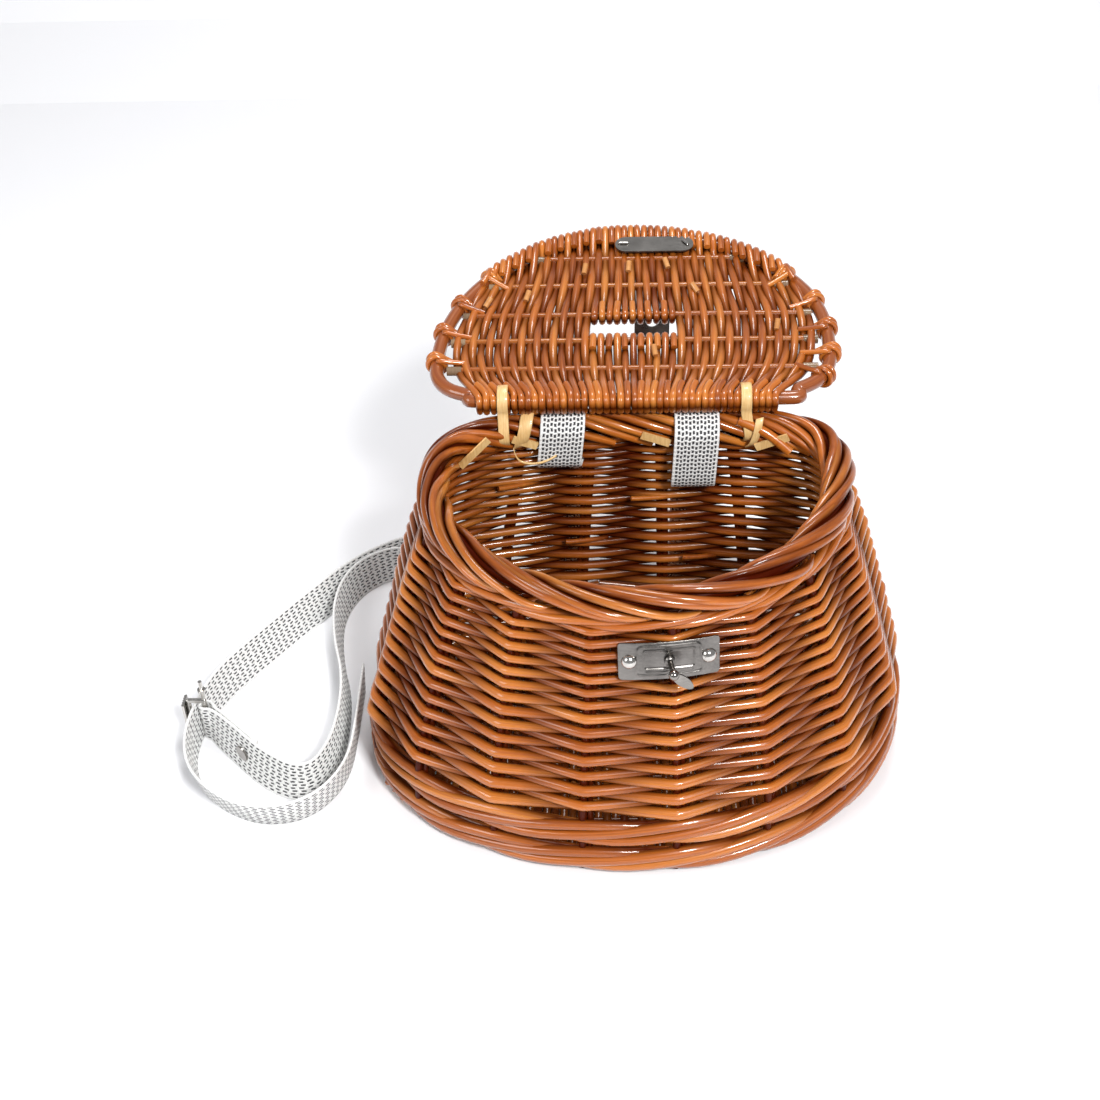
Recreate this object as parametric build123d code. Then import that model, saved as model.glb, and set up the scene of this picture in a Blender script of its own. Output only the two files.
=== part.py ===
from build123d import *
from bisect import bisect_right
from math import atan2, ceil, cos, degrees, hypot, pi, radians, sin, tan
import os

os.makedirs("parts", exist_ok=True)

# Wicker fishing creel with a woven lid, a hasp latch and a webbing shoulder strap.
# Millimetres. +X is the wearer's left seen from the front, -Y is the front, +Z is up.
# The origin is the middle of the foot, on the floor.

# ---------------------------------------------------------------- basket body
rim_half_width = 109.5
rim_back_y = 84.5
rim_front_y = -69.5
rim_shoulder_left = 55.0
rim_shoulder_right = 41.0
rim_squareness = 3.4

foot_half_width = 152.0
foot_back_y = 96.0
foot_front_y = -96.0
foot_shoulder_left = 100.0
foot_shoulder_right = 68.0
foot_squareness = 3.0

foot_height = 24.0
weave_height = 160.0
wale_height = 166.5
border_z = 173.5
border_radius = 9.0
foot_thickness = 12.0
weave_thickness = 10.0
wale_thickness = 10.0

stake_count = 16
stake_phase = 0.5
stake_drift = 0.006
stake_radius = 2.4
stake_foot_z = 3.0
stake_top_z = 165.4
channel_clearance = 0.05

base_bottom_z = 0.0
base_top_z = 9.0
base_stick_radius = 3.0
base_stick_pitch = 32.0
base_stick_count = 5

# share of the way from the rim outline to the foot outline, by height
swell_heights = (0.0, 20.0, 45.0, 75.0, 105.0, 135.0, 160.0, 174.0, 184.0)
swell_shares = (0.97, 1.0, 0.95, 0.755, 0.55, 0.338, 0.123, 0.0, -0.06)

# ---------------------------------------------------------------- lid
lid_open_angle = 173.0
rod_radius = 4.0
wrap_radius = 5.5
lid_gap = 0.4
hinge_y = rim_back_y
hinge_z = border_z + border_radius + wrap_radius + lid_gap
lid_half_width = 113.0
lid_depth = 154.0
lid_shoulder_left = 34.0
lid_shoulder_right = 58.0
lid_squareness = 4.2
hinge_rod_half_length = 97.0
lid_stick_radius = 2.5
stick_end_gap = 0.4
lid_stick_depths = (26.0, 51.0, 75.0, 103.0, 130.0)
lid_half_thickness = 4.5
mat_inset = 12.0
mat_meets_hoop = 118.0
slot_width = 51.0
slot_centre_x = 1.0
slot_edge = 4.0
side_wrap_length = 7.0
side_wrap_radius = 5.7
side_wrap_arm_radius = 1.9
side_wrap_clearance = 0.6
side_wraps_left = (33.0, 59.0, 85.0, 112.0)
side_wraps_right = (18.0, 37.0, 60.0, 86.0, 112.0)

# ---------------------------------------------------------------- cane ties
tie_left_x = -73.5
tie_right_x = 63.0
tie_width = 5.5
cane_thickness = 1.2
tie_border_gap = 1.1
tie_rod_gap = 0.3
tie_notch_width = 7.5
tie_notch_radius = 12.5

# ---------------------------------------------------------------- latch and hasp
latch_x = 14.5
latch_z = 143.6
plate_width = 51.0
plate_height = 21.0
plate_thickness = 0.8
plate_bend_radius = 118.0
seat_depth = 0.8
rivet_spacing = 40.0
rivet_radius = 1.5
rivet_head_radius = 3.4
rivet_head_rise = 2.0
rivet_length = 15.0
washer_radius = 4.0
washer_thickness = 1.0
stem_radius = 1.5
stem_length = 15.0
stem_boss_radius = 2.9
stem_boss_rise = 2.0
ball_radius = 2.7
wing_length = 11.0
wing_width = 5.5
wing_thickness = 1.2
wing_angle = -40.0

hasp_x = latch_x
hasp_plate_length = 48.0
hasp_plate_width = 15.0
hasp_plate_depth = 139.0
hasp_sheet = 1.0
knuckle_depth = 161.5
knuckle_rise = 7.6
knuckle_radius = 2.2
hasp_pin_radius = 1.0
leaf_width = 23.0
leaf_length = 74.0
leaf_sheet = 1.2
leaf_slot_width = 7.0
leaf_slot_top = 20.0
leaf_slot_bottom = 64.0
staple_radius = 0.8
staple_spacing = 5.0
staple_offset = 19.0

# ---------------------------------------------------------------- webbing
webbing_width = 25.0
webbing_thickness = 1.6
floor_gap = 0.1
loop_left_x = -40.0
loop_right_x = 35.0
loop_left_inner_y = 71.6
loop_right_inner_y = 69.0
loop_left_bottom_z = 146.0
loop_right_bottom_z = 133.0
short_plane_y = 106.0
long_plane_y = 110.0
lap_clearance = 0.05
strap_start_z = 172.0
edge_bend_radius = 48.0
strap_rivet_radius = 1.6
strap_rivet_head_radius = 5.0
strap_rivet_head_rise = 1.2
buckle_mouth = (-255.0, 7.0)
eye_radius = 3.4
wire_radius = 1.5
post_spacing = 9.5
buckle_plate_length = 10.0
buckle_plate_thickness = 1.2
buckle_rib_count = 5
buckle_rib_pitch = 1.9
buckle_pin_radius = 1.2
buckle_pin_length = 14.0
buckle_collar_radius = 2.4
buckle_collar_rise = 7.0
lap_rivet_z = 163.0
fold_rivet_reach = 36.0
fold_length = 44.0


def lerp(a, b, t):
    return a + (b - a) * t


def swell(z):
    """Share of the foot outline at a height, a smooth curve through the given shares."""
    hs, ws = swell_heights, swell_shares
    i = min(max(bisect_right(hs, z) - 1, 0), len(hs) - 2)
    step = hs[i + 1] - hs[i]
    slope = (ws[i + 1] - ws[i]) / step
    before = (ws[i] - ws[i - 1]) / (hs[i] - hs[i - 1]) if i > 0 else slope
    after = (ws[i + 2] - ws[i + 1]) / (hs[i + 2] - hs[i + 1]) if i + 2 < len(hs) else slope
    m0 = (before + slope) / 2 * step
    m1 = (slope + after) / 2 * step
    t = (z - hs[i]) / step
    h00 = 2 * t**3 - 3 * t**2 + 1
    h10 = t**3 - 2 * t**2 + t
    return h00 * ws[i] + h10 * m0 + (1 - h00) * ws[i + 1] + (t**3 - t**2) * m1


def outline_point(angle, half_width, back_y, front_y, left, right, squareness):
    """Point of a D outline: half an ellipse in front, a squarer half behind."""
    c, s = cos(angle), sin(angle)
    widest_y = back_y - (left if c < 0 else right)
    power = squareness if s > 0 else 2.0
    depth = back_y - widest_y if s > 0 else widest_y - front_y
    reach = ((abs(c) / half_width) ** power + (abs(s) / depth) ** power) ** (-1 / power)
    return reach * c, widest_y + reach * s


def even_points(corners, count):
    """Points at equal steps along a closed outline."""
    run = [0.0]
    for a, b in zip(corners, corners[1:] + corners[:1]):
        run.append(run[-1] + hypot(b[0] - a[0], b[1] - a[1]))
    result = []
    for k in range(count):
        target = run[-1] * k / count
        i = bisect_right(run, target) - 1
        t = (target - run[i]) / (run[i + 1] - run[i])
        a, b = corners[i], corners[(i + 1) % len(corners)]
        result.append((lerp(a[0], b[0], t), lerp(a[1], b[1], t)))
    return result


def wall_outline(z, count, dense=720):
    """Middle line of the wall at a height, from the front centre towards +X."""
    w = swell(z)
    sizes = (
        lerp(rim_half_width, foot_half_width, w),
        lerp(rim_back_y, foot_back_y, w),
        lerp(rim_front_y, foot_front_y, w),
        lerp(rim_shoulder_left, foot_shoulder_left, w),
        lerp(rim_shoulder_right, foot_shoulder_right, w),
        lerp(rim_squareness, foot_squareness, w),
    )
    corners = [outline_point(2 * pi * i / dense - pi / 2, *sizes) for i in range(dense)]
    return even_points(corners, count)


def offset_points(points, distance):
    """Points moved outwards along the outline's own normal."""
    moved = []
    for i, (x, y) in enumerate(points):
        ax, ay = points[i - 1]
        bx, by = points[(i + 1) % len(points)]
        length = hypot(bx - ax, by - ay)
        moved.append((x + (by - ay) / length * distance, y - (bx - ax) / length * distance))
    return moved


ring_points = 28


def wall_section(z, offset):
    points = offset_points(wall_outline(z, ring_points), offset)
    curve = Spline([(x, y, z) for x, y in points], periodic=True)
    return Face(Wire(curve))


def wall_band(z_values, thickness):
    """Closed band of the wall between its lowest and highest section."""
    outer = loft([wall_section(z, thickness / 2) for z in z_values])
    inner = loft([wall_section(z, -thickness / 2) for z in z_values])
    return outer - inner


def wall_point(fraction, z):
    """Middle of the wall at a share of the way round, with its outward normal."""
    points = wall_outline(z, 720)
    i = int(round(fraction * 720)) % 720
    ax, ay = points[i - 1]
    bx, by = points[(i + 1) % 720]
    length = hypot(bx - ax, by - ay)
    return points[i], ((by - ay) / length, -(bx - ax) / length)


def rod(start, end, radius):
    """Round rod between two points."""
    line = Line(start, end)
    return sweep((line ^ 0) * Circle(radius), path=line)


def block(low, high):
    centre = tuple((a + b) / 2 for a, b in zip(low, high))
    size = tuple(b - a for a, b in zip(low, high))
    return Pos(*centre) * Box(*size)


# ---------------------------------------------------------------- stakes and wall
stake_heights = (stake_foot_z, 31.0, 68.0, 111.0, stake_top_z)


def stake(index, radius):
    """Upright rod in straight runs, each bend rounded by a ball."""
    fraction = (index + stake_phase) / stake_count
    fraction -= stake_drift * cos(2 * pi * fraction)
    points = [(*wall_point(fraction, z)[0], z) for z in stake_heights]
    body = rod(points[0], points[1], radius)
    for start, end in zip(points[1:], points[2:]):
        body += rod(start, end, radius)
        body += Pos(*start) * Sphere(radius)
    return body


stakes = [stake(i, stake_radius) for i in range(stake_count)]
channels = [stake(i, stake_radius + channel_clearance) for i in range(stake_count)]

foot_wale = wall_band((0.0, 12.0, foot_height), foot_thickness)
wall_weave = wall_band((foot_height, 45.0, 70.0, 95.0, 120.0, 140.0, weave_height), weave_thickness)
top_wale = wall_band((weave_height, wale_height), wale_thickness)

rim_curve = Spline([(x, y, border_z) for x, y in wall_outline(border_z, ring_points)], periodic=True)
border = sweep((rim_curve ^ 0) * Circle(border_radius), path=rim_curve)
border -= block((-200, -200, 150), (200, 200, wale_height))

# ---------------------------------------------------------------- base mat
base_inset = foot_thickness / 2 + channel_clearance
base_weave = loft([wall_section(z, -base_inset) for z in (base_bottom_z, base_top_z)])
base_sticks = []
base_z = (base_bottom_z + base_top_z) / 2
for k in range(base_stick_count):
    y = (k - (base_stick_count - 1) / 2) * base_stick_pitch
    reach = [abs(px) for px, py in wall_outline(base_z, 720) if abs(py - y) < 1.5]
    half = min(reach) - base_inset - 5.0
    base_sticks.append(rod((-half, y, base_z), (half, y, base_z), base_stick_radius))
    base_weave -= rod((-half, y, base_z), (half, y, base_z), base_stick_radius + channel_clearance)

# ---------------------------------------------------------------- webbing loops


def loop_profile(inner_y, outer_y, bottom_z, top_z, corner, thickness):
    """Rounded strap section in the YZ plane, drawn round the border."""
    width, height = outer_y - inner_y, top_z - bottom_z
    shape = RectangleRounded(width, height, corner)
    return shape - RectangleRounded(width - 2 * thickness, height - 2 * thickness, corner - thickness)


def yz_loop(x, across, inner_y, outer_y, bottom_z, top_z, corner, thickness):
    place = Plane(
        origin=(x - across / 2, (inner_y + outer_y) / 2, (bottom_z + top_z) / 2),
        x_dir=(0, 1, 0),
        z_dir=(1, 0, 0),
    )
    profile = loop_profile(inner_y, outer_y, bottom_z, top_z, corner, thickness)
    return extrude(place * profile, amount=across, dir=(1, 0, 0))


webbing_top_z = hinge_z - wrap_radius - lid_gap - 0.1
loop_corner = 7.0
left_outer_y = short_plane_y - webbing_thickness / 2 - lap_clearance
right_outer_y = long_plane_y - webbing_thickness / 2 - lap_clearance
loop_sides = (
    (loop_left_x, loop_left_inner_y, left_outer_y, loop_left_bottom_z),
    (loop_right_x, loop_right_inner_y, right_outer_y, loop_right_bottom_z),
)
strap_loops = [
    yz_loop(x, webbing_width, inner, outer, low, webbing_top_z, loop_corner, webbing_thickness)
    for x, inner, outer, low in loop_sides
]
for x, inner, outer, low in loop_sides:
    half = webbing_width / 2 + 0.3
    groove_z = webbing_top_z - webbing_thickness - channel_clearance
    border -= block((x - half, 70, groove_z), (x + half, 100, groove_z + 10))
    wall_weave -= block((x - half, 70, low - 0.1), (x + half, 110, low + webbing_thickness + 0.1))

# ---------------------------------------------------------------- cane ties
rim_line = wall_outline(border_z, 720)


def rim_back(x):
    """Depth of the border's middle line on the back wall."""
    return min((p for p in rim_line if p[1] > 0), key=lambda p: abs(p[0] - x))[1]


def tie_face(border_y, grow):
    """Tight outline round the border and the lid's hinge rod, in the YZ plane."""
    below = Edge.make_circle(border_radius + tie_border_gap + grow).moved(Pos(border_y, border_z))
    above = Edge.make_circle(rod_radius + tie_rod_gap + grow).moved(Pos(hinge_y, hinge_z))
    return make_hull([below, above])


def tie_ring(x, width, inner_grow, outer_grow):
    place = Plane(origin=(x - width / 2, 0, 0), x_dir=(0, 1, 0), z_dir=(1, 0, 0))
    ring = tie_face(rim_back(x), outer_grow) - tie_face(rim_back(x), inner_grow)
    return extrude(place * ring, amount=width, dir=(1, 0, 0))


hinge_ties = []
for x in (tie_left_x, tie_right_x):
    hinge_ties.append(tie_ring(x, tie_width, 0.0, cane_thickness))
    top_wale -= tie_ring(x, tie_width + 0.4, -0.1, cane_thickness + 0.1)

cane_end_width = 4.6
cane_end_places = (
    (tie_left_x + 12.0, 168.5, 15.0, 24.0),
    (tie_left_x - 16.0, 169.0, 22.0, -34.0),
    (12.0, 168.0, 17.0, 20.0),
    (tie_right_x + 13.5, 168.5, 20.0, -28.0),
)
cane_ends = []
for x, z, length, tilt in cane_end_places:
    half = length / 2 * cos(radians(tilt)) + 1.3
    left_y, right_y = rim_back(x - half), rim_back(x + half)
    turn = degrees(atan2(right_y - left_y, 2 * half))
    y = (left_y + right_y) / 2 - (border_radius + 0.3 + cane_thickness / 2) / cos(radians(turn))
    strip = Box(length, cane_thickness, cane_end_width)
    cane_ends.append(Pos(x, y, z) * Rot(0, 0, turn) * Rot(0, tilt, 0) * strip)

# ---------------------------------------------------------------- latch on the front wall
front = wall_outline(latch_z, 1440)
latch_i = min(range(200), key=lambda i: abs(front[i][0] - latch_x))
plate_mid = front[latch_i]
ahead, behind = front[latch_i + 4], front[latch_i - 4]
turn = atan2(ahead[1] - behind[1], ahead[0] - behind[0])
lower = wall_outline(latch_z - 10, 1440)[latch_i]
upper = wall_outline(latch_z + 10, 1440)[latch_i]
lean = atan2(upper[1] - lower[1], 20.0)
outward = Vector(sin(turn) * cos(lean), -cos(turn) * cos(lean), sin(lean)).normalized()
along = Vector(cos(turn), sin(turn), 0)
plate_seat = Vector(plate_mid[0], plate_mid[1], latch_z) + outward * (weave_thickness / 2 - seat_depth)
latch_plane = Plane(origin=tuple(plate_seat), x_dir=tuple(along), z_dir=tuple(outward))


def bent_sheet(width, height, thickness):
    """Sheet bent round an upright axis, its inner face through the local origin."""
    radius = plate_bend_radius
    half = width / 2 / radius
    inner = CenterArc((0, 0), radius, 90 - degrees(half), 2 * degrees(half))
    outer = CenterArc((0, 0), radius + thickness, 90 - degrees(half), 2 * degrees(half))
    sides = [Line(inner @ 0, outer @ 0), Line(inner @ 1, outer @ 1)]
    face = make_face([inner, outer] + sides)
    sheet = extrude(face, amount=height / 2, both=True)
    return Rot(90, 0, 0) * Pos(0, -radius, 0) * sheet


latch_local = bent_sheet(plate_width, plate_height, plate_thickness)
latch_local = fillet(
    latch_local.edges().filter_by(lambda e: e.length < plate_thickness * 1.2), 2.0
)
latch_local += Cylinder(stem_boss_radius, stem_boss_rise, align=(Align.CENTER, Align.CENTER, Align.MIN))
bend_axis = Pos(0, 0, -plate_bend_radius)
rivet_places = [
    bend_axis * Rot(0, side * degrees(rivet_spacing / 2 / plate_bend_radius), 0) * bend_axis.inverse()
    for side in (-1, 1)
]
for place in rivet_places:
    latch_local -= place * Cylinder(rivet_radius + 0.1, 20)
latch_local -= Cylinder(stem_radius + 0.1, 20)
latch_plate = latch_plane * latch_local

seat_tool = latch_plane * (Pos(0, 0, 0) * bent_sheet(plate_width + 0.4, plate_height + 0.4, 12))
wall_weave -= seat_tool
top_wale -= seat_tool

latch_rivets = []
rivet_washers = []
for local_place in rivet_places:
    place = latch_plane * local_place
    rise = plate_thickness
    dome_radius = (rivet_head_radius**2 + rivet_head_rise**2) / (2 * rivet_head_rise)
    dome = Pos(0, 0, rise + rivet_head_rise - dome_radius) * Sphere(dome_radius)
    dome &= Pos(0, 0, rise) * Cylinder(10, 10, align=(Align.CENTER, Align.CENTER, Align.MIN))
    shank = Pos(0, 0, rise) * Cylinder(rivet_radius, rivet_length, align=(Align.CENTER, Align.CENTER, Align.MAX))
    latch_rivets.append(place * (dome + shank))
    wall_weave -= place * Cylinder(rivet_radius + 0.1, 60)
    washer_z = rise - rivet_length + 2.0
    washer = Cylinder(washer_radius, washer_thickness) - Cylinder(rivet_radius + 0.05, 5)
    rivet_washers.append(place * Pos(0, 0, washer_z) * washer)
    wall_weave -= place * Pos(0, 0, washer_z) * Cylinder(washer_radius + 0.3, washer_thickness + 0.1)

flange = Pos(0, 0, -1.5) * Cylinder(2.6, 1.0)
stem = Pos(0, 0, -2.0) * Cylinder(stem_radius, stem_length + 2.0, align=(Align.CENTER, Align.CENTER, Align.MIN))
ball = Pos(0, 0, stem_length) * Sphere(ball_radius)
wing_line = Pos(wing_length / 2, 0, 0) * Ellipse(wing_length / 2 + 1.0, wing_width / 2)
wing = extrude(wing_line, amount=wing_thickness / 2, both=True)
wing = Pos(0, 0, stem_length + 0.4) * Rot(0, 0, wing_angle) * wing
turn_button = latch_plane * (stem + flange + ball + wing)
wall_weave -= latch_plane * Pos(0, 0, -1.2) * Cylinder(3.0, 2.4)

# ---------------------------------------------------------------- lid, drawn shut
# X across, -Y towards the lid's front edge, the hinge axis through the origin.


def lid_outline(count):
    """Hoop's middle line in plan, from the left end of the hinge rod round the front."""
    points = []
    start, end = radians(180 - 19), radians(360 + 30)
    for i in range(count):
        angle = lerp(start, end, i / (count - 1))
        points.append(outline_point(angle, lid_half_width, 0.0, -lid_depth,
                                    lid_shoulder_left, lid_shoulder_right, lid_squareness))
    return points


hoop_path = Spline([(x, y, 0) for x, y in lid_outline(19)])
hoop_line = [((hoop_path @ (i / 360)).X, (hoop_path @ (i / 360)).Y) for i in range(361)]


def hoop_half_width(depth, side):
    """Distance of the hoop from the middle at a depth, on one side."""
    near = [p for p in hoop_line if p[0] * side > 0]
    return abs(min(near, key=lambda p: abs(p[1] + depth))[0])



def hoop_tube(radius):
    return sweep((hoop_path ^ 0) * Circle(radius), path=hoop_path)


hinge_bore = Rot(0, 90, 0) * Cylinder(rod_radius + channel_clearance, 2 * hinge_rod_half_length + 40)
lid_hinge_rod = Rot(0, 90, 0) * Cylinder(rod_radius, 2 * hinge_rod_half_length)
lid_hoop = hoop_tube(rod_radius) - hinge_bore
hoop_bore = hoop_tube(rod_radius + channel_clearance)

lid_sticks = []
stick_bores = []
for depth in lid_stick_depths:
    spans = []
    for side in (-1, 1):
        near = hoop_half_width(depth - lid_stick_radius, side)
        far = hoop_half_width(depth + lid_stick_radius, side)
        slant = hypot(1.0, (near - far) / (2 * lid_stick_radius))
        spans.append(min(near, far) - (side_wrap_radius + stick_end_gap) * slant)
    left, right = spans
    lid_sticks.append(rod((-left, -depth, 0), (right, -depth, 0), lid_stick_radius))
    stick_bores.append(rod((-left, -depth, 0), (right, -depth, 0), lid_stick_radius + channel_clearance))


def mat_half_width(depth, side):
    """Half width of the woven mat: clear of the hoop at the sides, on it in front."""
    inset = mat_inset * (1 - (depth / mat_meets_hoop) ** 2) if depth < mat_meets_hoop else 0.0
    return hoop_half_width(depth, side) - inset


mat_depths = (2.0, 14.0, 32.0, 52.0, 72.0, 92.0, 108.0)
mat_left = [(-mat_half_width(d, -1), -d) for d in mat_depths]
mat_right = [(mat_half_width(d, 1), -d) for d in mat_depths]
mat_front = [p for p in hoop_line[::12] if p[1] < -120]
mat_edge = Spline(mat_left + mat_front + mat_right[::-1])
mat_face = make_face([mat_edge, Line(mat_edge @ 1, mat_edge @ 0)])
lid_weave = extrude(mat_face, amount=lid_half_thickness, both=True)
lid_weave += Rot(0, 90, 0) * Cylinder(wrap_radius, 2 * hinge_rod_half_length - 4)
front_knots = [(x, y, 0) for x, y in hoop_line[::12] if y < -128]
front_path = Spline(front_knots)
lid_weave += sweep((front_path ^ 0) * Circle(wrap_radius), path=front_path)
lid_weave -= hoop_bore
lid_weave -= hinge_bore
for bore in stick_bores:
    lid_weave -= bore
slot_low = lid_stick_depths[1] + slot_edge
slot_high = lid_stick_depths[2] - slot_edge
slot_box = block((slot_centre_x - slot_width / 2, -slot_high, -10), (slot_centre_x + slot_width / 2, -slot_low, 10))
lid_weave -= slot_box
for x in (tie_left_x, tie_right_x):
    notch = Pos(x, 0, 0) * Rot(0, 90, 0) * Cylinder(tie_notch_radius, tie_notch_width)
    lid_weave -= notch

side_wraps = []
for side, depths in ((-1, side_wraps_left), (1, side_wraps_right)):
    for depth in depths:
        near = [k for k in range(1, 360) if hoop_line[k][0] * side > 0]
        i = min(near, key=lambda k: abs(hoop_line[k][1] + depth))
        x, y = hoop_line[i]
        ax, ay = hoop_line[i - 1]
        bx, by = hoop_line[i + 1]
        along_hoop = Plane(origin=(x, y, 0), z_dir=(bx - ax, by - ay, 0))
        ring = Cylinder(side_wrap_radius, side_wrap_length) - Cylinder(rod_radius + side_wrap_clearance, 20)
        arm_start = (x - side * (rod_radius + 0.9), y, 0)
        arm_end = (side * (mat_half_width(depth, side) + 2.2), y, 0)
        arm = rod(arm_start, arm_end, side_wrap_arm_radius)
        arm -= along_hoop * Cylinder(rod_radius + side_wrap_clearance, 60)
        side_wraps.append(along_hoop * ring + arm)
        lid_weave -= along_hoop * Cylinder(side_wrap_radius + 0.1, side_wrap_length + 0.2)

# hasp on the lid
back_sheet = RectangleRounded(hasp_plate_length, hasp_plate_width, hasp_plate_width / 2 - 0.5)


def staple_xy():
    places = []
    for side, spin in ((-1, 0.0), (1, 55.0)):
        cx = hasp_x + side * staple_offset
        half = staple_spacing / 2
        dx, dy = half * cos(radians(spin)), half * sin(radians(spin))
        places.append(((cx - dx, -hasp_plate_depth - dy), (cx + dx, -hasp_plate_depth + dy)))
    return places


plate_z = lid_half_thickness
hasp_back_plate = Pos(hasp_x, -hasp_plate_depth, -plate_z - hasp_sheet) * extrude(back_sheet, amount=hasp_sheet)
hasp_hinge_plate = Pos(hasp_x, -hasp_plate_depth, plate_z) * extrude(back_sheet, amount=hasp_sheet)
tongue_z = knuckle_rise - hasp_sheet / 2
tongue = block((hasp_x - leaf_width / 2, -knuckle_depth, tongue_z),
               (hasp_x + leaf_width / 2, -hasp_plate_depth - 2, tongue_z + hasp_sheet))
riser = block((hasp_x - leaf_width / 2, -hasp_plate_depth - 3, plate_z),
              (hasp_x + leaf_width / 2, -hasp_plate_depth - 2, tongue_z + hasp_sheet))
knuckle_place = Pos(hasp_x, -knuckle_depth, knuckle_rise)
fixed_knuckle = knuckle_place * Rot(0, 90, 0) * Cylinder(knuckle_radius, leaf_width)
leaf_room = knuckle_place * Rot(0, 90, 0) * Cylinder(knuckle_radius + 1.4, leaf_width / 3 + 0.4)
pin_bore = knuckle_place * Rot(0, 90, 0) * Cylinder(hasp_pin_radius + channel_clearance, leaf_width + 10)
hasp_hinge_plate = hasp_hinge_plate + riser + tongue + fixed_knuckle - leaf_room - pin_bore
hasp_pin = knuckle_place * Rot(0, 90, 0) * Cylinder(hasp_pin_radius, leaf_width + 1)

hasp_staples = []
for first, second in staple_xy():
    top = plate_z + hasp_sheet + staple_radius
    low = -plate_z - hasp_sheet - staple_radius
    wire = Polyline((*first, low), (*first, top), (*second, top), (*second, low), (*first, low + 0.0001))
    legs = rod((*first, low), (*first, top), staple_radius) + rod((*second, low), (*second, top), staple_radius)
    legs += rod((*first, top), (*second, top), staple_radius)
    legs += rod((*first, low), (*second, low), staple_radius)
    for point in (first, second):
        legs += Pos(*point, top) * Sphere(staple_radius)
        legs += Pos(*point, low) * Sphere(staple_radius)
        hole = rod((*point, low - 2), (*point, top + 2), staple_radius + 0.1)
        hasp_back_plate -= hole
        hasp_hinge_plate -= hole
        lid_weave -= hole
    hasp_staples.append(legs)

# hasp leaf, drawn hanging straight down from its own pin
leaf_shape = Pos(0, -leaf_length / 2) * RectangleRounded(leaf_width, leaf_length, 4)
slot_mid = (leaf_slot_top + leaf_slot_bottom) / 2
leaf_shape -= Pos(0, -slot_mid) * RectangleRounded(
    leaf_slot_width, leaf_slot_bottom - leaf_slot_top, leaf_slot_width / 2 - 0.1
)
leaf_local = extrude(Plane.XZ * leaf_shape, amount=leaf_sheet / 2, both=True)
side_room = knuckle_radius + 0.6
for side in (-1, 1):
    cut_x = side * leaf_width / 3
    leaf_local -= Pos(cut_x, 0, 0) * Box(leaf_width / 3 + 0.2, 10, 2 * side_room)
leaf_local += Rot(0, 90, 0) * Cylinder(knuckle_radius, leaf_width / 3 - 0.2)
leaf_local -= Rot(0, 90, 0) * Cylinder(hasp_pin_radius + channel_clearance, leaf_width)

open_lid = Pos(0, hinge_y, hinge_z) * Rot(-lid_open_angle, 0, 0)
knuckle_world = open_lid * Pos(hasp_x, -knuckle_depth, knuckle_rise)
hasp_leaf = Pos(*knuckle_world.position) * leaf_local
print("hinge axis", hinge_y, hinge_z, "hasp axis", tuple(knuckle_world.position))
print("latch axis", tuple(latch_plane.origin), "direction", tuple(outward))

# ---------------------------------------------------------------- shoulder strap


def corner_radii(points):
    """Bend radius at each inner corner, from the shorter run beside it."""
    radii = []
    for a, b, c in zip(points, points[1:], points[2:]):
        u = Vector(b[0] - a[0], b[1] - a[1])
        v = Vector(c[0] - b[0], c[1] - b[1])
        half = radians(u.get_angle(v)) / 2
        radii.append(min(0.45 * min(u.length, v.length) / tan(half), 400.0))
    return radii


def floor_path(points, name):
    """Straight runs joined by tangent arcs, at the webbing's lower edge."""
    radii = corner_radii(points)
    path = FilletPolyline([(x, y, floor_gap) for x, y in points], radius=radii)
    print(name, "length", round(path.length, 1), "radii", [round(r, 1) for r in radii])
    return path


def ribbon(path):
    """Webbing standing on edge along a path on the floor."""
    strip = trace(path, line_width=webbing_thickness)
    return extrude(strip, amount=webbing_width, dir=(0, 0, 1))


def hanging_ribbon(x, plane_y):
    """Webbing flat against the back wall that turns along the floor."""
    half = webbing_width / 2
    floor_z = half + floor_gap
    bend_z = floor_z + edge_bend_radius
    middle = (x - edge_bend_radius, bend_z)
    outer = CenterArc(middle, edge_bend_radius + half, 0, -90)
    inner = CenterArc(middle, edge_bend_radius - half, 0, -90)
    shape = make_face([
        outer, Line(outer @ 0, (x + half, strap_start_z)), Line((x + half, strap_start_z), (x - half, strap_start_z)),
        Line((x - half, strap_start_z), inner @ 0), inner, Line(inner @ 1, outer @ 1),
    ])
    place = Plane(origin=(0, plane_y, 0), x_dir=(1, 0, 0), z_dir=(0, -1, 0))
    solid = extrude(place * shape, amount=webbing_thickness / 2, both=True)
    drop = strap_start_z - bend_z + edge_bend_radius * pi / 2
    return solid, (x - edge_bend_radius, plane_y), drop


short_drop, short_start, short_drop_length = hanging_ribbon(loop_left_x, short_plane_y)
long_drop, long_start, long_drop_length = hanging_ribbon(loop_right_x, long_plane_y)

short_points = [
    short_start, (-104.0, short_plane_y), (-128.0, 134.0), (-150.0, 158.0), (-178.0, 143.0), (-190.0, 112.0),
    (-186.0, 72.0), (-174.0, 32.0), (-174.0, -18.0), (-186.0, -44.0), (-211.0, -36.0), buckle_mouth,
]
long_points = [
    long_start, (-62.0, long_plane_y), (-100.0, 150.0), (-140.0, 172.0), (-178.0, 148.0), (-205.0, 112.0),
    (-232.0, 72.0), (-252.0, 42.0), (-262.0, 10.0), (-262.0, -22.0), (-248.0, -48.0), (-218.0, -67.0),
    (-186.0, -63.0), (-166.5, -36.0), (-165.0, 4.0), (-166.0, 44.0),
]
short_path = floor_path(short_points, "strap_short")
long_path = floor_path(long_points, "strap_long")
strap_short = short_drop + ribbon(short_path)
strap_long = long_drop + ribbon(long_path)

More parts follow.
